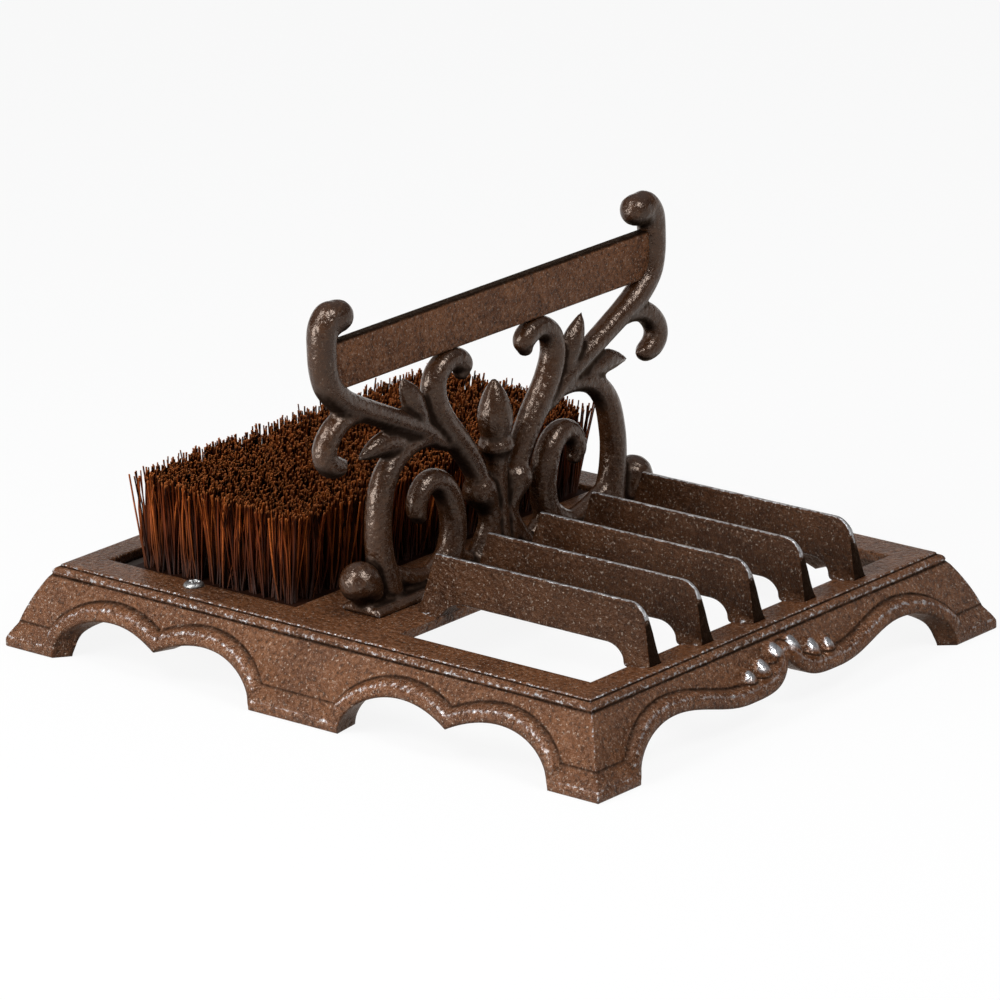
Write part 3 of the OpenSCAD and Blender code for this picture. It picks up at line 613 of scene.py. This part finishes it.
hook_line = [(55, 36, 3.8), (56.5, 39, 5.0), (56, 44.5, 5.3), (51.5, 50, 5.5), (45, 51, 6.0),
             (38.5, 47, 6.4), (34, 39, 6.6), (32, 30, 6.6), (32.5, 20, 6.6), (36.5, 10, 6.8),
             (39, 3, 7.0)]
short_leg = [(16, 3, 6.7), (12.5, 9, 5.8), (8, 17, 5.3), (5, 25, 5.1)]
short_knob = [(5, 22, 4.5), (8, 29, 6.0), (12, 36, 8.2), (14, 39, 8.0), (16, 41.8, 6.3),
              (17.2, 43.4, 3.5)]
middle_line = [(0, 3, 7.0), (0, 14, 5.6), (0, 30, 5.0), (0, 46, 5.0), (0, 52, 6.5), (0, 55.5, 8.7),
               (0, 58.5, 8.5), (0, 61, 7.0), (0, 66, 8.3), (0, 72.5, 8.5), (0, 80.5, 6.2),
               (0, 86.5, 3.1), (0, 89.5, 0.6)]
arm_web = [(80, 22, 4.5), (76, 14, 5.0), (66, 9, 5.0), (58, 6.5, 5.0), (50, 5, 5.0)]
hook_web = [(22, 5, 4.0), (30, 10, 4.8), (36, 14, 5.0), (43, 9, 5.0), (50, 5, 5.0)]
ball_line = [(97, 15.5, 10.0), (93, 11, 8.5), (89, 6, 6.0)]
knob_line = [(105, 146.6, 8.0), (108, 146.2, 7.8), (111, 144, 7.2)]
round_lines = (horn_line, trunk_line, curl_line, arm_line, hook_line, short_leg, short_knob,
               arm_web, hook_web, ball_line, knob_line)


def smooth_line(guide, steps):
    """Curve through guide points, the radius too: a Catmull-Rom cubic between each two points."""
    g = np.array(guide, float)
    g = np.concatenate([g[:1], g, g[-1:]])
    t = np.linspace(0, 1, steps, endpoint=False)[:, None, None]
    a, b, c, d = g[:-3], g[1:-2], g[2:-1], g[3:]
    curve = (2 * b + (c - a) * t + (2 * a - 5 * b + 4 * c - d) * t ** 2
             + (3 * b - a - 3 * c + d) * t ** 3) / 2
    return np.concatenate([curve.transpose(1, 0, 2).reshape(-1, 3), g[-1:]])


def stem(guide, side, depth=1.0, ridge=1.0):
    """Closed tapering stem: a ring in the plane across a curve, carried along it, with domed ends.

    The ring is a circle, flattened by depth towards the faces; a ridge above 1 sharpens it to a
    lens with a keel."""
    line = smooth_line(guide, stem_steps)
    ahead = np.gradient(line[:, :2], axis=0)
    ahead /= np.linalg.norm(ahead, axis=1)[:, None]
    dome = np.radians([80, 55, 28])
    r0, r1 = line[0, 2], line[-1, 2]
    head = np.column_stack([line[0, :2] - ahead[0] * r0 * np.sin(dome)[:, None], r0 * np.cos(dome)])
    tail = np.column_stack([line[-1, :2] + ahead[-1] * r1 * np.sin(dome)[::-1, None],
                            r1 * np.cos(dome)[::-1]])
    line = np.concatenate([head, line, tail])
    ahead = np.pad(ahead, ((len(dome), len(dome)), (0, 0)), "edge")
    a = np.linspace(0, 2 * pi, stem_sides, endpoint=False)
    out = np.sign(np.cos(a)) * np.abs(np.cos(a)) ** ridge
    across = np.sin(a)
    r = line[:, 2:3]
    y = line[:, 0:1] - ahead[:, 1:2] * r * across
    z = line[:, 1:2] + ahead[:, 0:1] * r * across
    ring = np.stack([scroll_x + depth * r * out, side * scroll_stretch * y, seat_z + z], -1)
    return ring.reshape(-1, 3), tube_faces(*ring.shape[:2], turned=True)


def straight_bar(profile, y0, y1):
    """Closed bar: a profile drawn in X and Z, counter-clockwise, carried straight along Y."""
    profile = np.array(profile, float)
    y = np.array([y0, y1])[:, None]
    ring = np.stack([scroll_x + profile[:, 0] + 0 * y, y + 0 * profile[:, 0],
                     seat_z + profile[:, 1] + 0 * y], -1)
    return ring.reshape(-1, 3), tube_faces(*ring.shape[:2], turned=True)


stems = [stem(middle_line, 1)]
for side in (-1, 1):
    stems += [stem(line, side) for line in round_lines]
    stems += [stem(leaf, side, leaf_depth, leaf_ridge) for leaf in (upper_leaf, lower_leaf)]
stems.append(straight_bar(
    [(-plate_half, 0), (plate_half, 0), (plate_half, plate_edge),
     (plate_half - plate_bevel, plate_high), (plate_bevel - plate_half, plate_high),
     (-plate_half, plate_edge)], -plate_long, plate_long))


def neighbour_mean(values, quads):
    """Mean of the values of each point's neighbours on a closed mesh of quads."""
    count = np.bincount(quads.ravel(), minlength=len(values)) * 2.0
    columns = []
    for column in values.T:
        total = 0
        for k in range(4):
            here = quads[:, k]
            for beside in (quads[:, k - 1], quads[:, (k + 1) % 4]):
                total = total + np.bincount(here, column[beside], len(values))
        columns.append(total / count)
    return np.stack(columns, 1)


def normals(points, quads):
    """Unit normal of each point: the sum of its quads' crossed diagonals."""
    p = points[quads]
    face = np.cross(p[:, 2] - p[:, 0], p[:, 3] - p[:, 1])
    total = np.stack([sum(np.bincount(quads[:, k], face[:, c], len(points)) for k in range(4))
                      for c in range(3)], 1)
    return total / np.linalg.norm(total, axis=1)[:, None]


def cast_together(surfaces, voxel):
    """Fuses overlapping closed surfaces into one skin: points in millimetres and small quads."""
    points, faces = [], []
    for surface_points, surface_faces in surfaces:
        faces += shifted(surface_faces, sum(map(len, points)))
        points.append(surface_points)
    mesh = bpy.data.meshes.new("mould")
    mesh.from_pydata((np.concatenate(points) * MM).tolist(), [], faces)
    mould = bpy.data.objects.new("mould", mesh)
    bpy.context.scene.collection.objects.link(mould)
    fuse = mould.modifiers.new("fuse", "REMESH")
    fuse.mode = "VOXEL"
    fuse.voxel_size = voxel * MM
    bpy.context.view_layer.update()
    fused = mould.evaluated_get(bpy.context.evaluated_depsgraph_get())
    skin = bpy.data.meshes.new_from_object(fused)
    co = np.empty(len(skin.vertices) * 3)
    skin.vertices.foreach_get("co", co)
    corners = np.empty(len(skin.loops), int)
    skin.loops.foreach_get("vertex_index", corners)
    bpy.data.objects.remove(mould)
    bpy.data.meshes.remove(skin)
    return co.reshape(-1, 3) / MM, corners.reshape(-1, 4)


# Hollows are filled faster than rounds are worn down, which leaves fillets between the stems
fuse_voxel, fill_rounds, hollow_pull, round_pull = 1.15, 8, 0.5, 0.08
scroll_sink, scroll_polish = 0.2, 0.5
hollow_bend, edge_bend, edge_range, mark_rounds = 0.035, 0.06, 0.10, 6
scroll_points, scroll_quads = cast_together(stems, fuse_voxel)
for _ in range(fill_rounds):
    pull = neighbour_mean(scroll_points, scroll_quads) - scroll_points
    hollow = (pull * normals(scroll_points, scroll_quads)).sum(1, keepdims=True) > 0
    scroll_points = scroll_points + pull * np.where(hollow, hollow_pull, round_pull)
scroll_points[:, 2] = np.clip(scroll_points[:, 2], seat_z - scroll_sink, scroll_high[2])
scroll_normals = normals(scroll_points, scroll_quads)
pull = neighbour_mean(scroll_points, scroll_quads) - scroll_points
bend = (pull * scroll_normals).sum(1)
# Painted shade: the hollows between the stems and the undersides of the stems are darkened.
hollow_shade = np.clip(bend / hollow_bend, 0, 1)[:, None]
for _ in range(mark_rounds):
    hollow_shade = 0.4 * hollow_shade + 0.6 * neighbour_mean(hollow_shade, scroll_quads)
edge_mark = np.clip((-bend - edge_bend) / edge_range, 0, 1)
under_shade = np.clip(-1.6 * scroll_normals[:, 2] - 0.1, 0, 1)
# Painted shade: shade 0.42 makes the scroll's copy of the brown paint the darkest.
scroll = piece("scroll_casting", scroll_points, scroll_quads.tolist(),
               painted_iron("brown_iron_scroll", grain=0.7, dents=1.1, shade=0.42, shine=0.52),
               {"wear": 0.6 * edge_mark,
                "painted_shade": np.maximum(1.2 * hollow_shade[:, 0], under_shade),
                "polish": np.full(len(scroll_points), scroll_polish)})
bar_points, bar_faces = rounded_box(
    (scroll_x - bar_t / 2, -bar_half, seat_z + bar_z0),
    (scroll_x + bar_t / 2, bar_half, seat_z + bar_z1), bar_round, stations=80)
# Painted shade: the bar's rounded top is darkened; shade 1.4 makes its copy of the brown paint
# lighter than the frame's, painted light.
bar_crown = np.clip((bar_points[:, 2] - seat_z - bar_z1 + bar_round) / 1.2, 0, 1)
bar = piece("scroll_bar", bar_points, bar_faces,
            painted_iron("brown_iron_bar", grain=2.8, dents=0.9, shade=1.4, shine=0.15),
            {"wear": 0.25 * bar_crown, "painted_shade": 0.9 * bar_crown})
for made in (scroll, bar):
    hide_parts("scroll_upright")


# Scroll bolts and washers. Two plain hexagon bolts from below, each on a flat washer, hold the
# upright on the cross bar. They are zinc-plated steel, dulled by the weather.
def dull_zinc(name):
    """Zinc plate gone dull: cool greys in blotches, fine scratches in the gloss, a little grime."""
    n = Nodes(name)
    dull, bright, grime = (0.20, 0.20, 0.20), (0.36, 0.36, 0.35), (0.09, 0.075, 0.06)
    blotch = n.noise(900, 3)
    fine = n.noise(3200, 2)
    grey = n.mix(n.ramp(blotch, 0.35, 0.7), dull, bright)
    grey = n.mix(n.veil(fine, 0.55, 0.75, 0.6), grey, grime)
    bump = n.add("ShaderNodeBump", {"Height": fine, "Strength": 0.25, "Distance": 0.0003})
    gloss = n.math("ADD", n.math("MULTIPLY", blotch, 0.35), 0.22)
    return n.finish(Base_Color=grey, Metallic=0.9, Roughness=gloss, Normal=bump.outputs["Normal"])


zinc = dull_zinc("zinc_steel")
for node in ("scroll_bolts", "scroll_washers"):
    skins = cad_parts[node].data.materials
    skins.clear()
    skins.append(zinc)


# Brush board. A sawn softwood board under the brush opening, screwed up against the frame, with its
# edges eased by a plane. The bristles are set in its upper side, darkened near black with
# painted shade.
board_low, board_high = node_box("brush_board")
board_round = 1.5


def sawn_wood(name):
    """Pale softwood: bands of grain along Y, drawn out and wavy, with fine pores.

    It is painted near black where it is marked, as painted shade."""
    n = Nodes(name)
    pale, ring = (0.42, 0.26, 0.13), (0.22, 0.12, 0.055)
    pore, top_shade = (0.10, 0.055, 0.028), (0.020, 0.012, 0.008)
    where = n.add("ShaderNodeTexCoord").outputs["Object"]
    drawn = n.add("ShaderNodeMapping",
                  {"Vector": where, "Scale": (1.0, 0.06, 1.0)}).outputs["Vector"]
    rings = n.add("ShaderNodeTexNoise", {"Vector": drawn, "Scale": 130.0, "Detail": 3.0,
                                         "Distortion": 0.6}).outputs["Fac"]
    pores = n.add("ShaderNodeTexNoise", {"Vector": drawn, "Scale": 1500.0,
                                         "Detail": 2.0}).outputs["Fac"]
    wood = n.mix(n.ramp(rings, 0.35, 0.65), pale, ring)
    wood = n.mix(n.veil(pores, 0.55, 0.7, 0.5), wood, pore)
    wood = n.mix(n.mark("top_shade"), wood, top_shade)
    bump = n.add("ShaderNodeBump", {"Height": pores, "Strength": 0.3, "Distance": 0.0004})
    return n.finish(Base_Color=wood, Roughness=0.75, Normal=bump.outputs["Normal"])


board_points, board_faces = rounded_box(board_low, board_high, board_round, steps=4, stations=24)
# Painted shade: the top face of the board, under the bristles, is painted near black.
board_top_shade = np.clip((board_points[:, 2] - board_high[2] + board_round) / 1.2, 0, 1)
board = piece("brush_plank", board_points, board_faces, sawn_wood("board_wood"),
              {"top_shade": board_top_shade})
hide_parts("brush_board")


# Brush bristles. Stiff split-cane fibres, reddish brown, set in tufts in the board and cut off
# level. They spread towards their tips, lean every way a little, and a few strays stand out at the
# edges.
bristle_low, bristle_high = node_box("brush_bristles")
root_z = board_high[2]
fibre_rng = np.random.default_rng(17)
tufts_x, tufts_y, tuft_size = 12, 24, 31
tuft_margin = np.array([3.5, 2.0])
hole_r, hole_wander, top_share = 2.9, 0.5, 0.62
tuft_lean, fibre_lean, fibre_bow = 1.0, 2.1, 0.9
top_spread, top_drift = 0.03, [1.0, 3.5]
top_below, top_slope, top_uneven = 0.5, 2.0, 1.0
short_share, short_by = 0.93, 3.5
stray_share, stray_by = 0.992, 6.0
frame_clear, scroll_clear = 6.0, 7.0
fibre_root_r, fibre_tip_r = 0.52, 0.46
fibre_rings = 4
back_sink, back_h, back_short, back_round, back_tone = 0.5, 3.0, 1.0, 1.0, 0.2


def fibres():
    """All the fibres as closed three-sided tubes, whole arrays at once, with tone and height marks.

    A fibre starts within its tuft's hole, leans to its own place in the tuft's share of the top and
    bows a little; its rings lie level, turned by a random angle and tapering to the tip. Its side
    faces look inwards, and the browns of cane_fibre are set for that."""
    low, high = bristle_low[:2] + tuft_margin, bristle_high[:2] - tuft_margin
    cell = (high - low) / [tufts_x, tufts_y]
    i, j = np.meshgrid(np.arange(tufts_x), np.arange(tufts_y), indexing="ij")
    holes = low + (np.stack([i, j], -1).reshape(-1, 1, 2) + 0.5) * cell
    holes = holes + fibre_rng.normal(0, hole_wander, holes.shape)
    tufts = len(holes)
    count = tufts * tuft_size
    angle = fibre_rng.uniform(0, 2 * pi, (tufts, tuft_size, 1))
    reach = np.sqrt(fibre_rng.uniform(0, 1, (tufts, tuft_size, 1)))
    ray = np.concatenate([np.cos(angle), np.sin(angle)], -1) * reach
    root = holes + hole_r * ray
    lean = fibre_rng.normal(0, tuft_lean, (tufts, 1, 2))
    lean = lean + fibre_rng.normal(0, fibre_lean, (tufts, tuft_size, 2))
    tip = holes + top_share * cell * ray + lean
    middle = (low + high) / 2
    tip = tip + top_spread * (tip - middle) + top_drift
    root, tip = root.reshape(-1, 2), tip.reshape(-1, 2)
    slope = top_slope * (middle[0] - tip[:, 0]) / (high[0] - middle[0])
    tip_z = bristle_high[2] - top_below + slope + fibre_rng.normal(0, top_uneven, count)
    tip_z = tip_z - short_by * (fibre_rng.uniform(0, 1, count) > short_share)
    stray = fibre_rng.uniform(0, 1, count) > stray_share
    tip = tip + stray[:, None] * fibre_rng.normal(0, stray_by, tip.shape)
    t = np.linspace(0, 1, fibre_rings)[None, :, None]
    bow = fibre_rng.normal(0, fibre_bow, (count, 1, 2)) * 4 * t * (1 - t)
    line = root[:, None] + (tip - root)[:, None] * t + bow
    z = root_z + (tip_z[:, None, None] - root_z) * t
    line = np.clip(line, base_low[:2] + frame_clear,
                   [scroll_x - scroll_clear, base_high[1] - frame_clear])
    turn = fibre_rng.uniform(0, 2 * pi, (count, 1, 1)) + np.arange(3) * 2 * pi / 3
    taper = fibre_root_r + (fibre_tip_r - fibre_root_r) * t
    thick = fibre_rng.uniform(0.8, 1.2, (count, 1, 1)) * taper
    x = line[..., 0:1] + thick * np.cos(turn)
    y = line[..., 1:2] + thick * np.sin(turn)
    points = np.stack([x, y, z + 0 * x], -1)
    per = 3 * fibre_rings
    start = np.arange(count)[:, None, None] * per
    one = grid_quads(fibre_rings, 3, wrap_cols=True)[:, ::-1]
    sides = (one + start).reshape(-1, 4).tolist()
    foot = (np.array([2, 1, 0]) + start[:, 0]).tolist()
    top = (np.array([per - 3, per - 2, per - 1]) + start[:, 0]).tolist()
    tone = np.repeat(fibre_rng.uniform(0, 1, count), per)
    height = np.tile(np.repeat(t.ravel(), 3), count)
    return points.reshape(-1, 3), sides + foot + top, tone, height


def cane_fibre(name):
    """Split-cane fibre: each one its own brown, from near black to rusty orange.

    Painted shade darkens it towards the root, and it is pale where cut."""
    n = Nodes(name)
    dark, rust, orange = (0.016, 0.0032, 0.0009), (0.130, 0.024, 0.0040), (0.330, 0.078, 0.0135)
    split, root, cut = (0.055, 0.011, 0.003), (0.006, 0.0018, 0.0006), (0.580, 0.185, 0.050)
    tone, height = n.mark("tone"), n.mark("height")
    streak = n.noise(500, 3)
    cane = n.mix(n.ramp(tone, 0.05, 0.60), dark, rust)
    cane = n.mix(n.ramp(tone, 0.60, 1.0), cane, orange)
    cane = n.mix(n.veil(streak, 0.45, 0.65, 0.4), cane, split)
    # Painted shade: darker towards the root, deep in the brush.
    cane = n.mix(n.veil(height, 0.95, 0.05, 0.9), cane, root)
    cane = n.mix(n.veil(height, 0.97, 1.0, 0.5), cane, cut)
    return n.finish(Base_Color=cane, Roughness=0.55, Specular_IOR_Level=0.1)


fibre_points, fibre_faces, fibre_tone, fibre_height = fibres()
# The backing takes the painted root shade, near black.
back_points, back_faces = rounded_box(
    (bristle_low[0], bristle_low[1], root_z - back_sink),
    (bristle_high[0] - back_short, bristle_high[1], root_z + back_h), back_round)
brush = piece("brush_fibres", np.concatenate([fibre_points, back_points]),
              fibre_faces + shifted(back_faces, len(fibre_points)), cane_fibre("bristle_fibre"),
              {"tone": np.concatenate([fibre_tone, np.full(len(back_points), back_tone)]),
               "height": np.concatenate([fibre_height, np.zeros(len(back_points))])})
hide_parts("brush_bristles")


# Brush screws. Two pan-head screws with a cross recess, zinc-plated steel, driven through the long
# strips of the frame into the board.
screw_low, screw_high = node_box("brush_screws")
head_r, head_h, head_turn = 5.0, 2.5, 0.5
recess_l, recess_w, recess_d = 2.9, 0.75, 1.5
recess_side, recess_end = 0.25, 0.5


def pan_head(x, y, z):
    """Screw head on a polar grid: a low dome whose edge turns down to the frame.

    A cross recess is cut into it, with short slopes at its walls."""
    r = np.concatenate([np.linspace(0.02, 3.2, 16), np.linspace(3.45, head_r, 10)])[:, None]
    a = np.linspace(0, 2 * pi, 64, endpoint=False)[None, :] + 0.35
    dome = head_h * np.sqrt(np.clip(1 - (r / head_r) ** 4, 0, 1))
    px, py = r * np.cos(a), r * np.sin(a)

    def arm(along, across):
        """One arm of the cross: 1 inside it, sloping to 0 at its sides and ends."""
        return (np.clip((recess_w - np.abs(across) + recess_side) / recess_side, 0, 1)
                * np.clip((recess_l - np.abs(along)) / recess_end, 0, 1))

    cut = recess_d * np.maximum(arm(px, py), arm(py, px))
    c, s = cos(head_turn), sin(head_turn)
    grid = np.stack([x + px * c - py * s, y + px * s + py * c, z + dome - cut], -1)
    return grid.reshape(-1, 3), tube_faces(*grid.shape[:2])


screw_x = (screw_low[0] + screw_high[0]) / 2
for side, name in ((screw_low[1] + head_r, "front"), (screw_high[1] - head_r, "back")):
    screw_points, screw_faces = pan_head(screw_x, side, top_z)
    screw = piece(f"screw_{name}", screw_points, screw_faces, zinc)
    outwards(screw)
    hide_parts("brush_screws")


# Stage: white floor and surroundings, soft lamps, and a long lens at the height of a photographer
# kneeling in front of the right-hand corner. Sizes here are in metres.
sheet_r, sheet_rise, sheet_bend = 6.0, 1.3, 0.5
paper_white = 0.90


def paper_sheet():
    """Round sheet of paper: a level disc whose rim turns up in a quarter circle to a low wall."""
    turn = np.linspace(0, pi / 2, 8)
    bend_r = sheet_r - sheet_bend + sheet_bend * np.sin(turn)
    r = np.concatenate([[0.01, 1.0, 3.0], bend_r, [sheet_r]])[:, None]
    z = np.concatenate([[0, 0, 0], sheet_bend - sheet_bend * np.cos(turn), [sheet_rise]])[:, None]
    a = np.linspace(0, 2 * pi, 64, endpoint=False)
    grid = np.stack([r * np.cos(a), r * np.sin(a), z + 0 * a], -1)
    quads = grid_quads(len(r), len(a), wrap_cols=True).tolist()
    return grid.reshape(-1, 3), quads + [list(range(len(a)))]


sheet_points, sheet_faces = paper_sheet()
floor_mesh = bpy.data.meshes.new("floor")
floor_mesh.from_pydata(sheet_points.tolist(), [], sheet_faces)
floor = bpy.data.objects.new("floor", floor_mesh)
bpy.context.scene.collection.objects.link(floor)

# The camera, and what it sees mirrored, finds plain white mixed into the grey paper
paper = Nodes("floor_paper")
paper.finish(Base_Color=(0.50, 0.50, 0.50, 1), Roughness=0.9)
rays = paper.add("ShaderNodeLightPath").outputs
mirrored = paper.math("MAXIMUM", rays["Is Glossy Ray"], rays["Is Transmission Ray"])
seen = paper.math("MAXIMUM", rays["Is Camera Ray"], mirrored)
paper_glow = paper.add("ShaderNodeEmission", {"Strength": 1.0})
paper_mix = paper.add("ShaderNodeMixShader", {0: paper.math("MULTIPLY", seen, paper_white),
                                              1: paper.shader.outputs[0], 2: paper_glow.outputs[0]})
paper.set(paper.tree.nodes["Material Output"], "Surface", paper_mix.outputs[0])
floor_mesh.materials.append(paper.material)

world = bpy.data.worlds.new("studio")
bpy.context.scene.world = world
world.use_nodes = True
sky_nodes, sky_links = world.node_tree.nodes, world.node_tree.links
where_to = sky_nodes.new("ShaderNodeTexCoord").outputs["Generated"]
upward = sky_nodes.new("ShaderNodeSeparateXYZ")
silk = sky_nodes.new("ShaderNodeMapRange")
silk.interpolation_type = "SMOOTHSTEP"
for socket, value in (("From Min", 0.20), ("From Max", 0.80), ("To Min", 0.05), ("To Max", 0.5)):
    silk.inputs[socket].default_value = value
sky = sky_nodes["Background"]
sky.inputs["Color"].default_value = (0.95, 0.97, 1.0, 1)
sky_links.new(where_to, upward.inputs[0])
sky_links.new(upward.outputs["Z"], silk.inputs["Value"])
sky_links.new(silk.outputs["Result"], sky.inputs["Strength"])

view_azimuth, view_height, view_roll = radians(41.41), radians(18.05), radians(-2.0)
view_distance, view_lens = 3.5071, 261.99
view_target = np.array([-0.0361, 0.0446, 0.0500])
towards = np.array([sin(view_azimuth) * cos(view_height), -cos(view_azimuth) * cos(view_height),
                    sin(view_height)])
level_right = np.array([cos(view_azimuth), sin(view_azimuth), 0])
level_up = np.cross(towards, level_right)
view_right = cos(view_roll) * level_right + sin(view_roll) * level_up
view_up = cos(view_roll) * level_up - sin(view_roll) * level_right


def facing(right, up, back, place):
    """Placement at a place, with the given directions for its right, its up and its back."""
    turn = Matrix((right, up, back)).transposed().to_4x4()
    return Matrix.Translation(place) @ turn


camera = bpy.data.objects.new("camera", bpy.data.cameras.new("camera"))
camera.data.lens = view_lens
camera.data.sensor_width = 36.0
camera.data.sensor_fit = "HORIZONTAL"
camera.data.clip_end = 50.0
camera.matrix_world = facing(view_right, view_up, towards, view_target + towards * view_distance)
bpy.context.scene.collection.objects.link(camera)
bpy.context.scene.camera = camera


def soft_lamp(name, right, up, near, size, power):
    """Square lamp aimed at the object, placed from it: to the camera's right, up and nearer."""
    place = level_right * right + towards * (near, near, 0) + (0, 0, up)
    back = place / np.linalg.norm(place)
    side = np.cross([0.01, 0.02, 1.0], back)
    side /= np.linalg.norm(side)
    lamp = bpy.data.objects.new(name, bpy.data.lights.new(name, "AREA"))
    lamp.data.shape = "SQUARE"
    lamp.data.size = size
    lamp.data.energy = power
    lamp.matrix_world = facing(side, np.cross(back, side), back, place)
    bpy.context.scene.collection.objects.link(lamp)


soft_lamp("low_left", right=-1.25, up=0.45, near=0.80, size=0.75, power=25)
soft_lamp("high_left", right=-0.80, up=1.35, near=0.55, size=0.55, power=17)
soft_lamp("high_right", right=0.74, up=1.40, near=0.80, size=0.6, power=23)

bpy.context.scene.view_settings.view_transform = "Standard"
